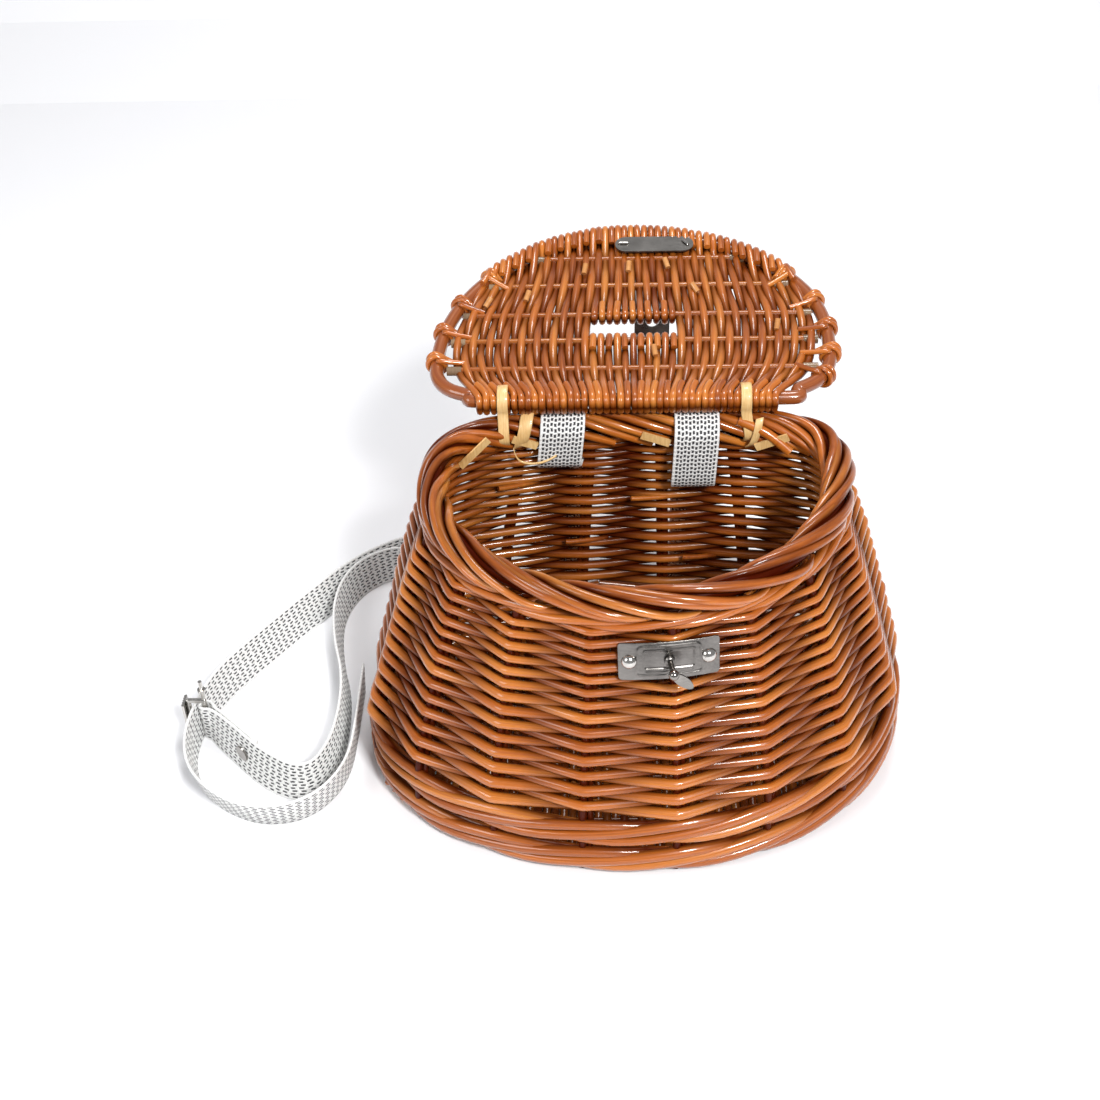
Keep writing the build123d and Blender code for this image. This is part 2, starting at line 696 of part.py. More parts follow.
# the short strap's end goes round the buckle's post and is riveted back on itself
end_heading = (Vector(*short_points[-1]) - Vector(*short_points[-2])).normalized()
fold_side = Vector(-end_heading.Y, end_heading.X) * -1
fold_step = fold_side * (webbing_thickness + lap_clearance)
fold_end = Vector(*short_points[-1], floor_gap) + fold_step
fold_path = Line(fold_end - end_heading * fold_length, fold_end)
strap_short += ribbon(fold_path)
eye_centre = Vector(*short_points[-1]) + fold_step * 0.5 + end_heading * 1.5
eye = Pos(eye_centre.X, eye_centre.Y, floor_gap) * Cylinder(
    eye_radius, webbing_width, align=(Align.CENTER, Align.CENTER, Align.MIN)
)
strap_short += eye

# ---------------------------------------------------------------- buckle
post_low_z = floor_gap + wire_radius
post_high_z = floor_gap + webbing_width + 2 * wire_radius + 0.6
across = Vector(1, 0)
right_post = eye_centre
left_post = Vector(right_post.X - post_spacing, right_post.Y)


def upright(point, low, high, radius):
    return Pos(point.X, point.Y, low) * Cylinder(radius, high - low, align=(Align.CENTER, Align.CENTER, Align.MIN))


buckle_frame = upright(left_post, post_low_z, post_high_z, wire_radius)
buckle_frame += upright(right_post, post_low_z, post_high_z, wire_radius)
for z in (post_low_z, post_high_z):
    buckle_frame += rod((left_post.X, left_post.Y, z), (right_post.X, right_post.Y, z), wire_radius)
    for point in (left_post, right_post):
        buckle_frame += Pos(point.X, point.Y, z) * Sphere(wire_radius)
post_bore = upright(right_post, -1, 40, wire_radius + channel_clearance)
bar_room = block(
    (left_post.X - 3, right_post.Y - 2, -1), (right_post.X + 3, right_post.Y + 2, post_low_z + wire_radius + 0.1)
)
strap_short -= post_bore
strap_short -= bar_room
strap_long -= bar_room

plate_x = left_post.X - wire_radius - channel_clearance - buckle_plate_thickness / 2
plate_mid_z = (post_low_z + post_high_z) / 2
buckle_plate = Pos(plate_x, left_post.Y, plate_mid_z) * Box(buckle_plate_thickness, buckle_plate_length, webbing_width + 2)
for k in range(buckle_rib_count):
    y = left_post.Y + (k - (buckle_rib_count - 1) / 2) * buckle_rib_pitch
    rib = Cylinder(buckle_rib_pitch * 0.36, webbing_width + 2)
    buckle_plate += Pos(plate_x - buckle_plate_thickness / 2, y, plate_mid_z) * rib

pin_low_z = post_high_z + wire_radius + channel_clearance
buckle_pin = upright(right_post, pin_low_z, pin_low_z + buckle_pin_length, buckle_pin_radius)
collar = Cylinder(buckle_collar_radius, 1.8)
buckle_pin += Pos(right_post.X, right_post.Y, pin_low_z + buckle_collar_rise) * collar

# ---------------------------------------------------------------- strap rivets


def lap_rivet(centre, axis, grip):
    """Flat-headed rivet through two layers of webbing, and the hole it needs."""
    place = Plane(origin=tuple(centre), z_dir=tuple(axis))
    solid = place * Cylinder(strap_rivet_radius, grip + 1)
    for side in (-1, 1):
        head = Cylinder(strap_rivet_head_radius, strap_rivet_head_rise)
        solid += place * Pos(0, 0, side * (grip + strap_rivet_head_rise) / 2) * head
    return solid, place * Cylinder(strap_rivet_radius + channel_clearance, grip + 4)


lap_grip = 2 * webbing_thickness + lap_clearance + 0.1
lap_step = (webbing_thickness + lap_clearance) / 2
rivet_centres = [
    (Vector(loop_left_x, short_plane_y - lap_step, lap_rivet_z), Vector(0, 1, 0)),
    (Vector(loop_right_x, long_plane_y - lap_step, lap_rivet_z), Vector(0, 1, 0)),
]
fold_start = Vector(*short_points[-1]) - end_heading * fold_rivet_reach + fold_step * 0.5
rivet_centres.append((Vector(fold_start.X, fold_start.Y, floor_gap + webbing_width / 2), fold_side))
strap_rivets = []
for centre, axis in rivet_centres:
    solid, hole = lap_rivet(centre, axis, lap_grip)
    strap_rivets.append(solid)
    strap_short -= hole
    strap_long -= hole
    strap_loops = [loop - hole for loop in strap_loops]

for name, solid, length in (
    ("strap_short", strap_short, short_path.length + short_drop_length + fold_path.length),
    ("strap_long", strap_long, long_path.length + long_drop_length),
):
    section = webbing_width * webbing_thickness
    print(name, "whole length", round(length, 1), "volume share", round(solid.volume / (section * length), 3))

# ---------------------------------------------------------------- write the pieces
foot_wale -= channels
wall_weave -= channels
top_wale -= channels


def on_lid(shape):
    return open_lid * shape


pieces = {
    "base_sticks": base_sticks,
    "base_weave": base_weave,
    "stakes": stakes,
    "foot_wale": foot_wale,
    "wall_weave": wall_weave,
    "top_wale": top_wale,
    "border": border,
    "hinge_tie_left": hinge_ties[0],
    "hinge_tie_right": hinge_ties[1],
    "cane_ends": cane_ends,
    "latch_plate": latch_plate,
    "latch_rivets": latch_rivets,
    "rivet_washers": rivet_washers,
    "turn_button": turn_button,
    "strap_loop_left": strap_loops[0],
    "strap_loop_right": strap_loops[1],
    "strap_short": strap_short,
    "strap_long": strap_long,
    "strap_rivets": strap_rivets,
    "buckle_frame": buckle_frame,
    "buckle_plate": buckle_plate,
    "buckle_pin": buckle_pin,
    "lid_hoop": on_lid(lid_hoop),
    "lid_hinge_rod": on_lid(lid_hinge_rod),
    "lid_sticks": [on_lid(s) for s in lid_sticks],
    "lid_weave": on_lid(lid_weave),
    "lid_side_wraps": [on_lid(s) for s in side_wraps],
    "hasp_back_plate": on_lid(hasp_back_plate),
    "hasp_hinge_plate": on_lid(hasp_hinge_plate),
    "hasp_staples": [on_lid(s) for s in hasp_staples],
    "hasp_pin": on_lid(hasp_pin),
    "hasp_leaf": hasp_leaf,
}
for name, shape in pieces.items():
    group = shape if isinstance(shape, list) else shape.solids()
    solids = [s for item in group for s in item.solids()]
    print(name, len(solids), "solids", round(sum(s.volume for s in solids)), "mm3")
    export_step(Compound(children=solids) if len(solids) > 1 else solids[0], f"parts/{name}.step")
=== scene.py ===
import math
import random

import bmesh
import bpy
import numpy as np
from mathutils import Matrix, Vector


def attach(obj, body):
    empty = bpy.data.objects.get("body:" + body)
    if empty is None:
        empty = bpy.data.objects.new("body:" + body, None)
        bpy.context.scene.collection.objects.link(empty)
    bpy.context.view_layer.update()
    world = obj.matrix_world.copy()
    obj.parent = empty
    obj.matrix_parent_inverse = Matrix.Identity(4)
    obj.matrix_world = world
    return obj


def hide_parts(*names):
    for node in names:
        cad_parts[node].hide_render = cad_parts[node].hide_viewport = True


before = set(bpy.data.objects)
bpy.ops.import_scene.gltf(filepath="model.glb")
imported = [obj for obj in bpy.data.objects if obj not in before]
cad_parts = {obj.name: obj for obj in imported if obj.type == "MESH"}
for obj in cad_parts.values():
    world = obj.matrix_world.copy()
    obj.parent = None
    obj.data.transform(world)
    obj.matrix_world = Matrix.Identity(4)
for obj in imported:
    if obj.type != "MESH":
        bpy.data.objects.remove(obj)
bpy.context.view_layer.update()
random.seed(11)
MM = 0.001
TAU = 2 * math.pi
# how far a rod woven by hand strays from its place (mm)
STRAY = 0.3


# ---------------------------------------------------------------- camera
SENSOR_MM = 36.0
LENS_MM = 51.262
CLIP_START = 0.01
CAMERA_PLACE = (-0.014279, -0.644660, 0.682711)
CAMERA_RIGHT = Vector((0.9992422, 0.0246221, -0.0301470))
CAMERA_UP = Vector((0.0075328, 0.6375417, 0.7703790))


def add_camera():
    """Camera in front of the creel and above it."""
    data = bpy.data.cameras.new("view_camera")
    data.sensor_width = SENSOR_MM
    data.lens = LENS_MM
    data.clip_start = CLIP_START
    camera = bpy.data.objects.new("view_camera", data)
    turn = Matrix((CAMERA_RIGHT, CAMERA_UP, CAMERA_RIGHT.cross(CAMERA_UP))).transposed().to_4x4()
    camera.matrix_world = Matrix.Translation(CAMERA_PLACE) @ turn
    bpy.context.scene.collection.objects.link(camera)
    bpy.context.scene.camera = camera


add_camera()


# ---------------------------------------------------------------- node materials
def srgb(code):
    """sRGB hex code as linear RGBA."""
    parts = [int(code[i : i + 2], 16) / 255 for i in (0, 2, 4)]
    return tuple(c / 12.92 if c <= 0.04045 else ((c + 0.055) / 1.055) ** 2.4 for c in parts) + (1.0,)


class Graph:
    """Node material under construction."""

    def __init__(self, name):
        self.material = bpy.data.materials.new(name)
        self.material.use_nodes = True
        self.tree = self.material.node_tree
        self.shader = self.tree.nodes["Principled BSDF"]

    def put(self, node, key, value):
        """Links or sets one input, found by its place, its name or its identifier."""
        if isinstance(key, int):
            socket = node.inputs[key]
        else:
            socket = next(s for s in node.inputs if key in (s.name.replace(" ", "_"), s.identifier))
        if isinstance(value, bpy.types.NodeSocket):
            self.tree.links.new(value, socket)
        else:
            socket.default_value = value

    def add(self, kind, settings=None, *values, output=0, **inputs):
        """Adds a node with its settings, its inputs in order and by name, and gives back one output."""
        node = self.tree.nodes.new("ShaderNode" + kind)
        for key, value in (settings or {}).items():
            if key == "stops":
                stops = node.color_ramp.elements
                while len(stops) < len(value):
                    stops.new(0.5)
                for stop, (place, code) in zip(stops, value):
                    stop.position = place
                    stop.color = srgb(code)
            else:
                setattr(node, key, value)
        for key, value in (*enumerate(values), *inputs.items()):
            self.put(node, key, value)
        return node.outputs[output]

    def surface(self, **inputs):
        """Links or sets inputs of the surface itself."""
        for key, value in inputs.items():
            self.put(self.shader, key, value)


# settings of the nodes that work on numbers, vectors and colours
PLUS = {"operation": "ADD"}
CLAMPED_PLUS = {"operation": "ADD", "use_clamp": True}
MINUS = {"operation": "SUBTRACT"}
TIMES = {"operation": "MULTIPLY"}
REMAINDER = {"operation": "MODULO"}
FRACTION = {"operation": "FRACT"}
WHOLE = {"operation": "FLOOR"}
SIZE = {"operation": "ABSOLUTE"}
LARGER = {"operation": "MAXIMUM"}
OVER = {"operation": "GREATER_THAN"}
COSINE = {"operation": "COSINE"}
COLOURS = {"data_type": "RGBA"}

# repeats per metre of rod, round it and along it
GRAIN_STREAKS = (900.0, 45.0, 1.0)  # 1.1 mm wide and 22 mm long
VARNISH_CLOUDS = (60.0, 22.0, 1.0)  # 17 mm wide and 45 mm long
BARK_FLECKS = (420.0, 150.0, 1.0)  # 2.4 mm wide and 6.7 mm long


def willow_material(name, dark, middle, light, gloss):
    """Varnished rod: streaks along it, a tone of its own, bark flecks, and painted shade deep in the weave
    that darkens it and takes its gloss away.
    """
    g = Graph(name)
    uv = g.add("UVMap", {"uv_map": "UVMap"})
    tone = g.add("Attribute", {"attribute_name": "tone"}, output="Fac")
    crevice = g.add("Attribute", {"attribute_name": "crevice"}, output="Fac")
    # each rod reads the patterns at a place of its own
    place = g.add("VectorMath", PLUS, uv, g.add("CombineXYZ", Z=g.add("Math", TIMES, tone, 9.0)))
    along = g.add("VectorMath", TIMES, place, GRAIN_STREAKS)
    streak = g.add("TexNoise", Vector=along, Scale=1.0, Detail=4.0, Roughness=0.6)
    patch = g.add("VectorMath", TIMES, place, VARNISH_CLOUDS)
    cloud = g.add("TexNoise", Vector=patch, Scale=1.0, Detail=2.0, Roughness=0.55)
    bark = g.add("VectorMath", TIMES, place, BARK_FLECKS)
    fleck = g.add("TexNoise", Vector=bark, Scale=1.0, Detail=2.0, Roughness=0.55)
    shade = g.add("Math", PLUS, g.add("Math", TIMES, streak, 0.45), g.add("Math", TIMES, cloud, 0.35))
    shade = g.add("Math", CLAMPED_PLUS, shade, g.add("Math", TIMES, tone, 0.28))
    colour = g.add("ValToRGB", {"stops": ((0.24, dark), (0.54, middle), (0.86, light))}, shade)
    spot = g.add("ValToRGB", {"stops": ((0.685, "000000"), (0.72, "FFFFFF"))}, fleck)
    spot = g.add("Math", TIMES, spot, 0.55)
    colour = g.add("Mix", COLOURS, spot, output=2, A_Color=colour, B_Color=srgb("4A1D0C"))
    # painted shade: deep in the weave the colour is drawn towards dark red-brown and the coat and specular
    # shine are taken away, standing in for the shade there
    stain_and_painted_shade = g.add("Math", TIMES, crevice, 0.96)
    colour = g.add("Mix", COLOURS, stain_and_painted_shade, output=2, A_Color=colour, B_Color=srgb("350400"))
    coat = g.add("Math", MINUS, 0.8, g.add("Math", TIMES, crevice, 0.76))
    shine = g.add("Math", MINUS, 0.35, g.add("Math", TIMES, crevice, 0.32))
    ridges = g.add("Math", PLUS, g.add("Math", TIMES, streak, 0.6), cloud)
    g.surface(Base_Color=colour, Roughness=gloss, Specular_IOR_Level=shine)
    g.surface(Coat_Weight=coat, Coat_Roughness=0.07)
    g.surface(Normal=g.add("Bump", Height=ridges, Distance=0.00035, Strength=0.5))
    return g.material


# boiled willow under old varnish: reddish brown with glossy highlights along each rod
willow = willow_material("varnished_willow", "6E2C07", "AE5D1C", "CD8336", 0.3)
# the stout hoop, hinge rod and uprights: the same varnish over darker wood
willow_dark = willow_material("varnished_willow_hoop", "4A1B08", "7C3A16", "9C5828", 0.3)
# willow cut on the slant: paler wood, a little softer in its gloss
willow_pale = willow_material("pale_cut_willow", "9C6230", "BD8248", "D9A76E", 0.4)
# sawn ends of the lid's sticks: grey-brown and rough under the varnish; the grey is painted shade, for the
# shade they lie in on the lid's underside
willow_grey = willow_material("weathered_willow_ends", "4B3A2A", "7A6148", "A08A6C", 0.7)


# ---------------------------------------------------------------- pieces and rods
def place_piece(bm, name, material, body, slot, *nodes, smooth=True):
    """Makes a piece of a bmesh; it rides on a body and stands for the CAD nodes that are named."""
    mesh = bpy.data.meshes.new(name)
    bm.to_mesh(mesh)
    bm.free()
    if smooth:
        mesh.polygons.foreach_set("use_smooth", [True] * len(mesh.polygons))
    mesh.materials.clear()
    mesh.materials.append(material)
    piece = bpy.data.objects.new(name, mesh)
    bpy.context.scene.collection.objects.link(piece)
    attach(piece, body)
    if nodes:
        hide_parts(*nodes)
    return piece


def rod_mesh(points, radius, cyclic=False, resolution=3, sides=2, swell=None):
    """Round rod through control points in mm, thicker where swell is over 1, with its UV in metres."""
    data = bpy.data.curves.new("rod", "CURVE")
    data.dimensions = "3D"
    data.bevel_depth = radius * MM
    data.bevel_resolution = sides
    data.resolution_u = resolution
    data.use_fill_caps = not cyclic
    spline = data.splines.new("NURBS")
    spline.points.add(len(points) - 1)
    length = 0.0
    for i, point in enumerate(points):
        spline.points[i].co = (point[0] * MM, point[1] * MM, point[2] * MM, 1.0)
        spline.points[i].radius = swell[i] if swell else 1.0
        if i:
            length += math.dist(points[i], points[i - 1])
    spline.use_cyclic_u = cyclic
    spline.use_endpoint_u = not cyclic
    spline.order_u = 3
    holder = bpy.data.objects.new("rod", data)
    mesh = bpy.data.meshes.new_from_object(holder)
    uv = np.empty(len(mesh.loops) * 2)
    mesh.uv_layers[0].data.foreach_get("uv", uv)
    uv = uv.reshape(-1, 2) * (TAU * radius * MM, length * MM)
    mesh.uv_layers[0].data.foreach_set("uv", uv.ravel())
    bpy.data.objects.remove(holder)
    bpy.data.curves.remove(data)
    return mesh


class Bundle:
    """Many rods gathered into one object, with a tone for each rod."""

    def __init__(self):
        self.bm = bmesh.new()
        self.tone = self.bm.verts.layers.float.new("tone")

    def rod(self, points, radius, tone=None, **options):
        """Adds one rod, with the tone that is given or one drawn at random."""
        mesh = rod_mesh(points, radius, **options)
        first = len(self.bm.verts)
        self.bm.from_mesh(mesh)
        bpy.data.meshes.remove(mesh)
        self.bm.verts.ensure_lookup_table()
        value = random.random() if tone is None else tone
        for vert in self.bm.verts[first:]:
            vert[self.tone] = value

    def finish(self, name, material, body, *nodes, crevice=None):
        """Makes the piece; the last argument gives each of its points its share of painted shade, from how
        deep in the weave it lies.
        """
        slot = "dark_willow" if material is willow_dark else "willow"
        mesh = place_piece(self.bm, name, material, body, slot, *nodes).data
        places = np.empty(len(mesh.vertices) * 3)
        mesh.vertices.foreach_get("co", places)
        # each point's share of painted shade, stored for the willow material to read
        depth = crevice(places.reshape(-1, 3) / MM) if crevice else np.zeros(len(mesh.vertices))
        mesh.attributes.new("crevice", "FLOAT", "POINT").data.foreach_set("value", depth)


# ---------------------------------------------------------------- the wall's surface
# half width, back, front, how far the widest point lies before the back at the left and at the
# right, and how square the back is: the D outline under the border and at the foot (mm)
RIM = (109.5, 84.5, -69.5, 55.0, 41.0, 3.4)
FOOT = (152.0, 96.0, -96.0, 100.0, 68.0, 3.0)
# heights, and the share of the foot outline that the wall has there
FLARE_HEIGHTS = (0.0, 20.0, 45.0, 75.0, 105.0, 135.0, 160.0, 174.0, 184.0)
FLARE_SHARES = (0.97, 1.0, 0.95, 0.755, 0.55, 0.338, 0.123, 0.0, -0.06)
STEPS = 720
TOP_LEVEL = 185
RIM_MIDDLE = 173.4


def foot_share(z):
    """Share of the foot outline at a height, a smooth curve through the shares."""
    i = int(np.clip(np.searchsorted(FLARE_HEIGHTS, z, side="right") - 1, 0, len(FLARE_HEIGHTS) - 2))
    steps = np.diff(FLARE_HEIGHTS)
    slopes = np.diff(FLARE_SHARES) / steps
    leaving = (slopes[max(i - 1, 0)] + slopes[i]) / 2 * steps[i]
    arriving = (slopes[i] + slopes[min(i + 1, len(slopes) - 1)]) / 2 * steps[i]
    t = (z - FLARE_HEIGHTS[i]) / steps[i]
    near = 2 * t**3 - 3 * t**2 + 1
    bend = (t**3 - 2 * t**2 + t) * leaving + (t**3 - t**2) * arriving
    return near * FLARE_SHARES[i] + (1 - near) * FLARE_SHARES[i + 1] + bend


def outline(angle, sizes):
    """Points of a D outline: half an ellipse in front, a squarer half behind."""
    half, back, front, left, right, squareness = sizes
    c, s = np.cos(angle), np.sin(angle)
    widest = back - np.where(c < 0, left, right)
    power = np.where(s > 0, squareness, 2.0)
    depth = np.where(s > 0, back - widest, widest - front)
    reach = ((np.abs(c) / half) ** power + (np.abs(s) / depth) ** power) ** (-1 / power)
    return reach * c, widest + reach * s


def ring_table():
    """Wall mid-line at each millimetre of height, even steps round it, with outward normals."""
    angle = np.linspace(-math.pi / 2, 1.5 * math.pi, STEPS + 1)
    table = []
    for z in range(TOP_LEVEL + 1):
        share = foot_share(z)
        x, y = outline(angle, [rim + (foot - rim) * share for rim, foot in zip(RIM, FOOT)])
        run = np.concatenate([[0], np.cumsum(np.hypot(np.diff(x), np.diff(y)))])
        even = np.linspace(0, run[-1], STEPS + 1)[:-1]
        x, y = np.interp(even, run, x), np.interp(even, run, y)
        dx, dy = np.roll(x, -3) - np.roll(x, 3), np.roll(y, -3) - np.roll(y, 3)
        size = np.hypot(dx, dy)
        table.append(np.stack([x, y, dy / size, -dx / size], axis=1))
    return np.array(table)


WALL = ring_table()


def wall(fraction, z, out):
    """Point in mm at a share of the way round from the front centre towards +X."""
    level = min(max(z, 0.0), TOP_LEVEL - 0.01)
    row = int(level)
    column = fraction % 1.0 * STEPS
    a, b = int(column) % STEPS, (int(column) + 1) % STEPS
    t, s = column - int(column), level - row
    low = WALL[row, a] * (1 - t) + WALL[row, b] * t
    high = WALL[row + 1, a] * (1 - t) + WALL[row + 1, b] * t
    x, y, nx, ny = low * (1 - s) + high * s
    return x + nx * out, y + ny * out, z


def wall_painted_shade(points):
    """1 deep in the weave, 0 on the outermost faces of the rods, little on those inside the creel."""
    out = np.empty(len(points))
    levels = np.clip(np.rint(points[:, 2]), 0, TOP_LEVEL).astype(int)
    for level in np.unique(levels):
        here = levels == level
        ring = WALL[level]
        away = points[here, None, :2] - ring[None, :, :2]
        nearest = np.argmin((away**2).sum(axis=2), axis=1)
        out[here] = (away[np.arange(len(nearest)), nearest] * ring[nearest, 2:]).sum(axis=1)
    # painted shade: darkest from 0.7 to 2.4 mm inside the mid-line; on the rods' faces further inside the
    # creel it is lifted again, which paints light on them
    in_the_gaps = np.clip((3.7 - out) / 4.4, 0.0, 1.0)
    inner_faces = np.clip((-2.4 - out) / 2.6, 0.0, 1.0)
    return in_the_gaps - 0.85 * inner_faces


STAKES = 16


def stake_fraction(index):
    """Share of the way round at which an upright stands, a little closer together in front."""
    share = (index + 0.5) / STAKES
    return share - 0.006 * math.cos(TAU * share)


# ---------------------------------------------------------------- uprights and wall
STAKE_RADIUS, STAKE_HEIGHTS = 2.3, (3, 20, 40, 66, 92, 118, 142, 160, 166)
BYE_STAKE_RADIUS, BYE_STAKE_HEIGHTS = 1.7, (10, 40, 80, 120, 158)
BYE_STAKE_BESIDE, BYE_STAKE_BEHIND = 0.0045, -0.8


def stake_painted_shade(points):
    """The uprights stand in the shade of the weave from end to end."""
    # painted shade along the whole of each upright
    return np.full(len(points), 0.9)


def build_stakes():
    """Uprights, each with a bye-stake pushed in beside it that ends under the border."""
    bundle = Bundle()
    for i in range(STAKES):
        f = stake_fraction(i)
        bundle.rod([wall(f, z, 0.0) for z in STAKE_HEIGHTS], STAKE_RADIUS, sides=2)
        points = [wall(f + BYE_STAKE_BESIDE, z, BYE_STAKE_BEHIND) for z in BYE_STAKE_HEIGHTS]
        bundle.rod(points, BYE_STAKE_RADIUS, sides=1)
    bundle.finish("willow_stakes", willow_dark, "basket", "stakes", crevice=stake_painted_shade)


def waling(bundle, base, climb, count, over, radius, rise, out_by):
    """Several rods in step: each passes over some stakes and behind one, and climbs as it goes."""
    behind, step = -3.0, 0.006
    for k in range(count):
        points, thick = [], []
        for n in range(STAKES + 1):
            phase = (n + k) % (over + 1)
            inside = phase == over
            f = stake_fraction(n % STAKES) + n // STAKES + 0.5
            slant = 0.0 if inside else rise * (phase / (over - 1) - 0.5)
            z = base + climb * n / STAKES + slant + random.uniform(-STRAY, STRAY)
            if inside:
                points += [wall(f - step, z - 0.5, behind), wall(f + step, z - 0.8, behind)]
                thick += [1.0, 1.0]
            else:
                points.append(wall(f, max(z, radius + 0.5), out_by[phase]))
                thick.append(1.0 + random.uniform(-0.08, 0.08))
        bundle.rod(points, radius, swell=thick, resolution=5, sides=3)


ROWS = 28
LOWEST_ROW, HIGHEST_ROW = 48.0, 157.8
LOWEST_ROW_RADIUS, ROW_TAPER = 2.95, 0.95
ROW_OUTSIDE, ROW_INSIDE, ROW_PRESSED = 3.3, -3.0, 2.1
# half the stretch, as a share of the way round, that a row lies outside or inside an upright
OUTSIDE_GAP, INSIDE_GAP = 0.0032, 0.0052
# middle, half width and half height of the weave that the latch presses flat
LATCH_X, LATCH_Z = 14.5, 143.6
LATCH_REACH_X, LATCH_REACH_Z = 27.0, 13.0
# rod ends left inside where a new rod begins: share of the way round, height, length
INNER_ENDS = (
    (0.46, 118, 22), (0.52, 84, 18), (0.58, 131, 20), (0.43, 70, 16), (0.30, 100, 18), (0.70, 92, 18),
)
INNER_END_RADIUS, WAY_ROUND = 1.5, 520.0


def behind_latch(x, y, z):
    """True where the latch's plate presses the weave flat."""
    return y < 0 and abs(x - LATCH_X) < LATCH_REACH_X and abs(z - LATCH_Z) < LATCH_REACH_Z


def build_randing():
    """Rows of single rods, over one stake and behind the next, above a band of stout rods."""
    bundle = Bundle()
    waling(bundle, base=32.5, climb=1.0, count=4, over=3, radius=3.1, rise=15.0, out_by=(3.2, 3.9, 3.4))
    for j in range(ROWS):
        t = j / (ROWS - 1)
        z = LOWEST_ROW + (HIGHEST_ROW - LOWEST_ROW) * (t + 0.06 * math.sin(math.pi * t))
        points, thick = [], []
        shift = random.random()
        for i in range(STAKES):
            outside = (i + j) % 2 == 0
            f = stake_fraction(i)
            gap = OUTSIDE_GAP if outside else INSIDE_GAP
            for step in (-gap, gap):
                lift = random.uniform(-STRAY, STRAY)
                place = wall(f + step, z + lift, ROW_OUTSIDE if outside else ROW_INSIDE)
                if outside and behind_latch(place[0], place[1], z):
                    place = wall(f + step, z + lift, ROW_PRESSED)
                points.append(place)
                thick.append(1.0 + 0.10 * math.cos(TAU * (f - shift)) + random.uniform(-0.05, 0.05))
        radius = LOWEST_ROW_RADIUS - ROW_TAPER * t
        bundle.rod(points, radius, cyclic=True, swell=thick, resolution=4, sides=2)
    for f, z, length in INNER_ENDS:
        step = length / WAY_ROUND
        points = [wall(f, z, -1.0), wall(f + step * 0.5, z + 1.5, -6.5), wall(f + step, z + 3.5, -9.0)]
        bundle.rod(points, INNER_END_RADIUS, sides=2)
    bundle.finish("willow_randing", willow, "basket", "wall_weave", crevice=wall_painted_shade)


def build_foot():
    """Band of stout rods, each passing over three stakes on a long slant."""
    bundle = Bundle()
    waling(bundle, base=11.5, climb=0.5, count=4, over=3, radius=3.3, rise=14.5, out_by=(3.2, 3.9, 3.4))
    bundle.finish("willow_foot_wale", willow, "basket", "foot_wale", crevice=wall_painted_shade)


def build_top_wale():
    """Band of thinner rods under the border, each passing over two stakes."""
    bundle = Bundle()
    waling(bundle, base=161.5, climb=1.0, count=3, over=2, radius=2.3, rise=4.4, out_by=(3.4, 3.8))
    bundle.finish("willow_top_wale", willow, "basket", "top_wale", crevice=wall_painted_shade)


# ---------------------------------------------------------------- border and base
BORDER_STRANDS, THINNEST_STRAND, THICKEST_STRAND = 33, 2.25, 2.7
# the way of one border strand: share of a turn, height above the rim's middle, outwards (mm)
BORDER_WAY = (
    (0.000, -14.0, -3.0), (0.022, -9.0, -6.0), (0.060, -1.5, -7.6), (0.092, 3.6, -5.8), (0.122, 5.8, -1.2),
    (0.165, 5.4, 3.2), (0.210, 2.2, 7.0), (0.255, -3.2, 8.0), (0.285, -7.4, 6.0), (0.305, -9.6, 1.5),
)
BORDER_SWELL = (0.8, 1, 1, 1.03, 1.03, 1, 0.95, 0.9, 0.8, 0.65)
# the strand whose end hangs free inside the right rear corner: share of a turn, height, outwards
LOOSE_STRAND = ((0.405, 178.5, -6.0), (0.385, 175.5, -8.0), (0.365, 169.0, -9.6), (0.352, 164.0, -10.4))
LOOSE_RADIUS = 2.9
CORE_HEIGHT, CORE_RADIUS, CORE_POINTS = 173.2, 4.6, 32


def border_painted_shade(points):
    """1 near the border's middle line, 0 on its outside."""
    ring = WALL[int(RIM_MIDDLE), :, :2]
    flat = np.sqrt(((points[:, None, :2] - ring[None]) ** 2).sum(axis=2).min(axis=1))
    away = np.hypot(flat, points[:, 2] - RIM_MIDDLE)
    # painted shade, darkest near the border's middle line
    return np.clip((8.6 - away) / 2.6, 0.0, 1.0)


def build_border():
    """Rolled border: strands laid along the rim over a core, each from inside over the top and out."""
    bundle = Bundle()
    for k in range(BORDER_STRANDS):
        start = k / BORDER_STRANDS + random.uniform(-0.004, 0.004)
        stretch = random.uniform(0.62, 0.8)
        lie = random.uniform(0.84, 1.0)
        points = []
        for share, up, out in BORDER_WAY:
            x, y, _ = wall(start + share * stretch, RIM_MIDDLE, out * lie + random.uniform(-STRAY, STRAY))
            points.append((x, y, RIM_MIDDLE + up * lie + random.uniform(-STRAY, STRAY)))
        radius = random.uniform(THINNEST_STRAND, THICKEST_STRAND)
        bundle.rod(points, radius, resolution=6, sides=3, swell=BORDER_SWELL)
    loose = [(*wall(f, RIM_MIDDLE, out)[:2], z) for f, z, out in LOOSE_STRAND]
    bundle.rod(loose, LOOSE_RADIUS, resolution=5, sides=3)
    core = [wall(n / CORE_POINTS, CORE_HEIGHT, 0.0) for n in range(CORE_POINTS)]
    # painted shade: the core gets a low tone and the full painted shade, so the gaps between the strands
    # show dark
    bundle.rod(core, CORE_RADIUS, cyclic=True, resolution=4, sides=2, tone=0.1)
    bundle.finish("willow_border", willow, "basket", "border", crevice=border_painted_shade)


BASE_HEIGHT = 4.9
BASE_STICKS, BASE_STICK_RADIUS = (-64.0, -32.0, 0.0, 32.0, 64.0), 2.3
BASE_RODS, BASE_ROD_RADIUS, BASE_HALF_WIDTH = 60, 2.4, 143.0


def base_painted_shade(points):
    """0 on the underside of the base, most on its inner face, in the shade of the creel."""
    # painted shade, rising with height to 0.85 on the mat's inner face
    return np.clip((points[:, 2] - 3.0) / 4.0, 0.0, 0.85)


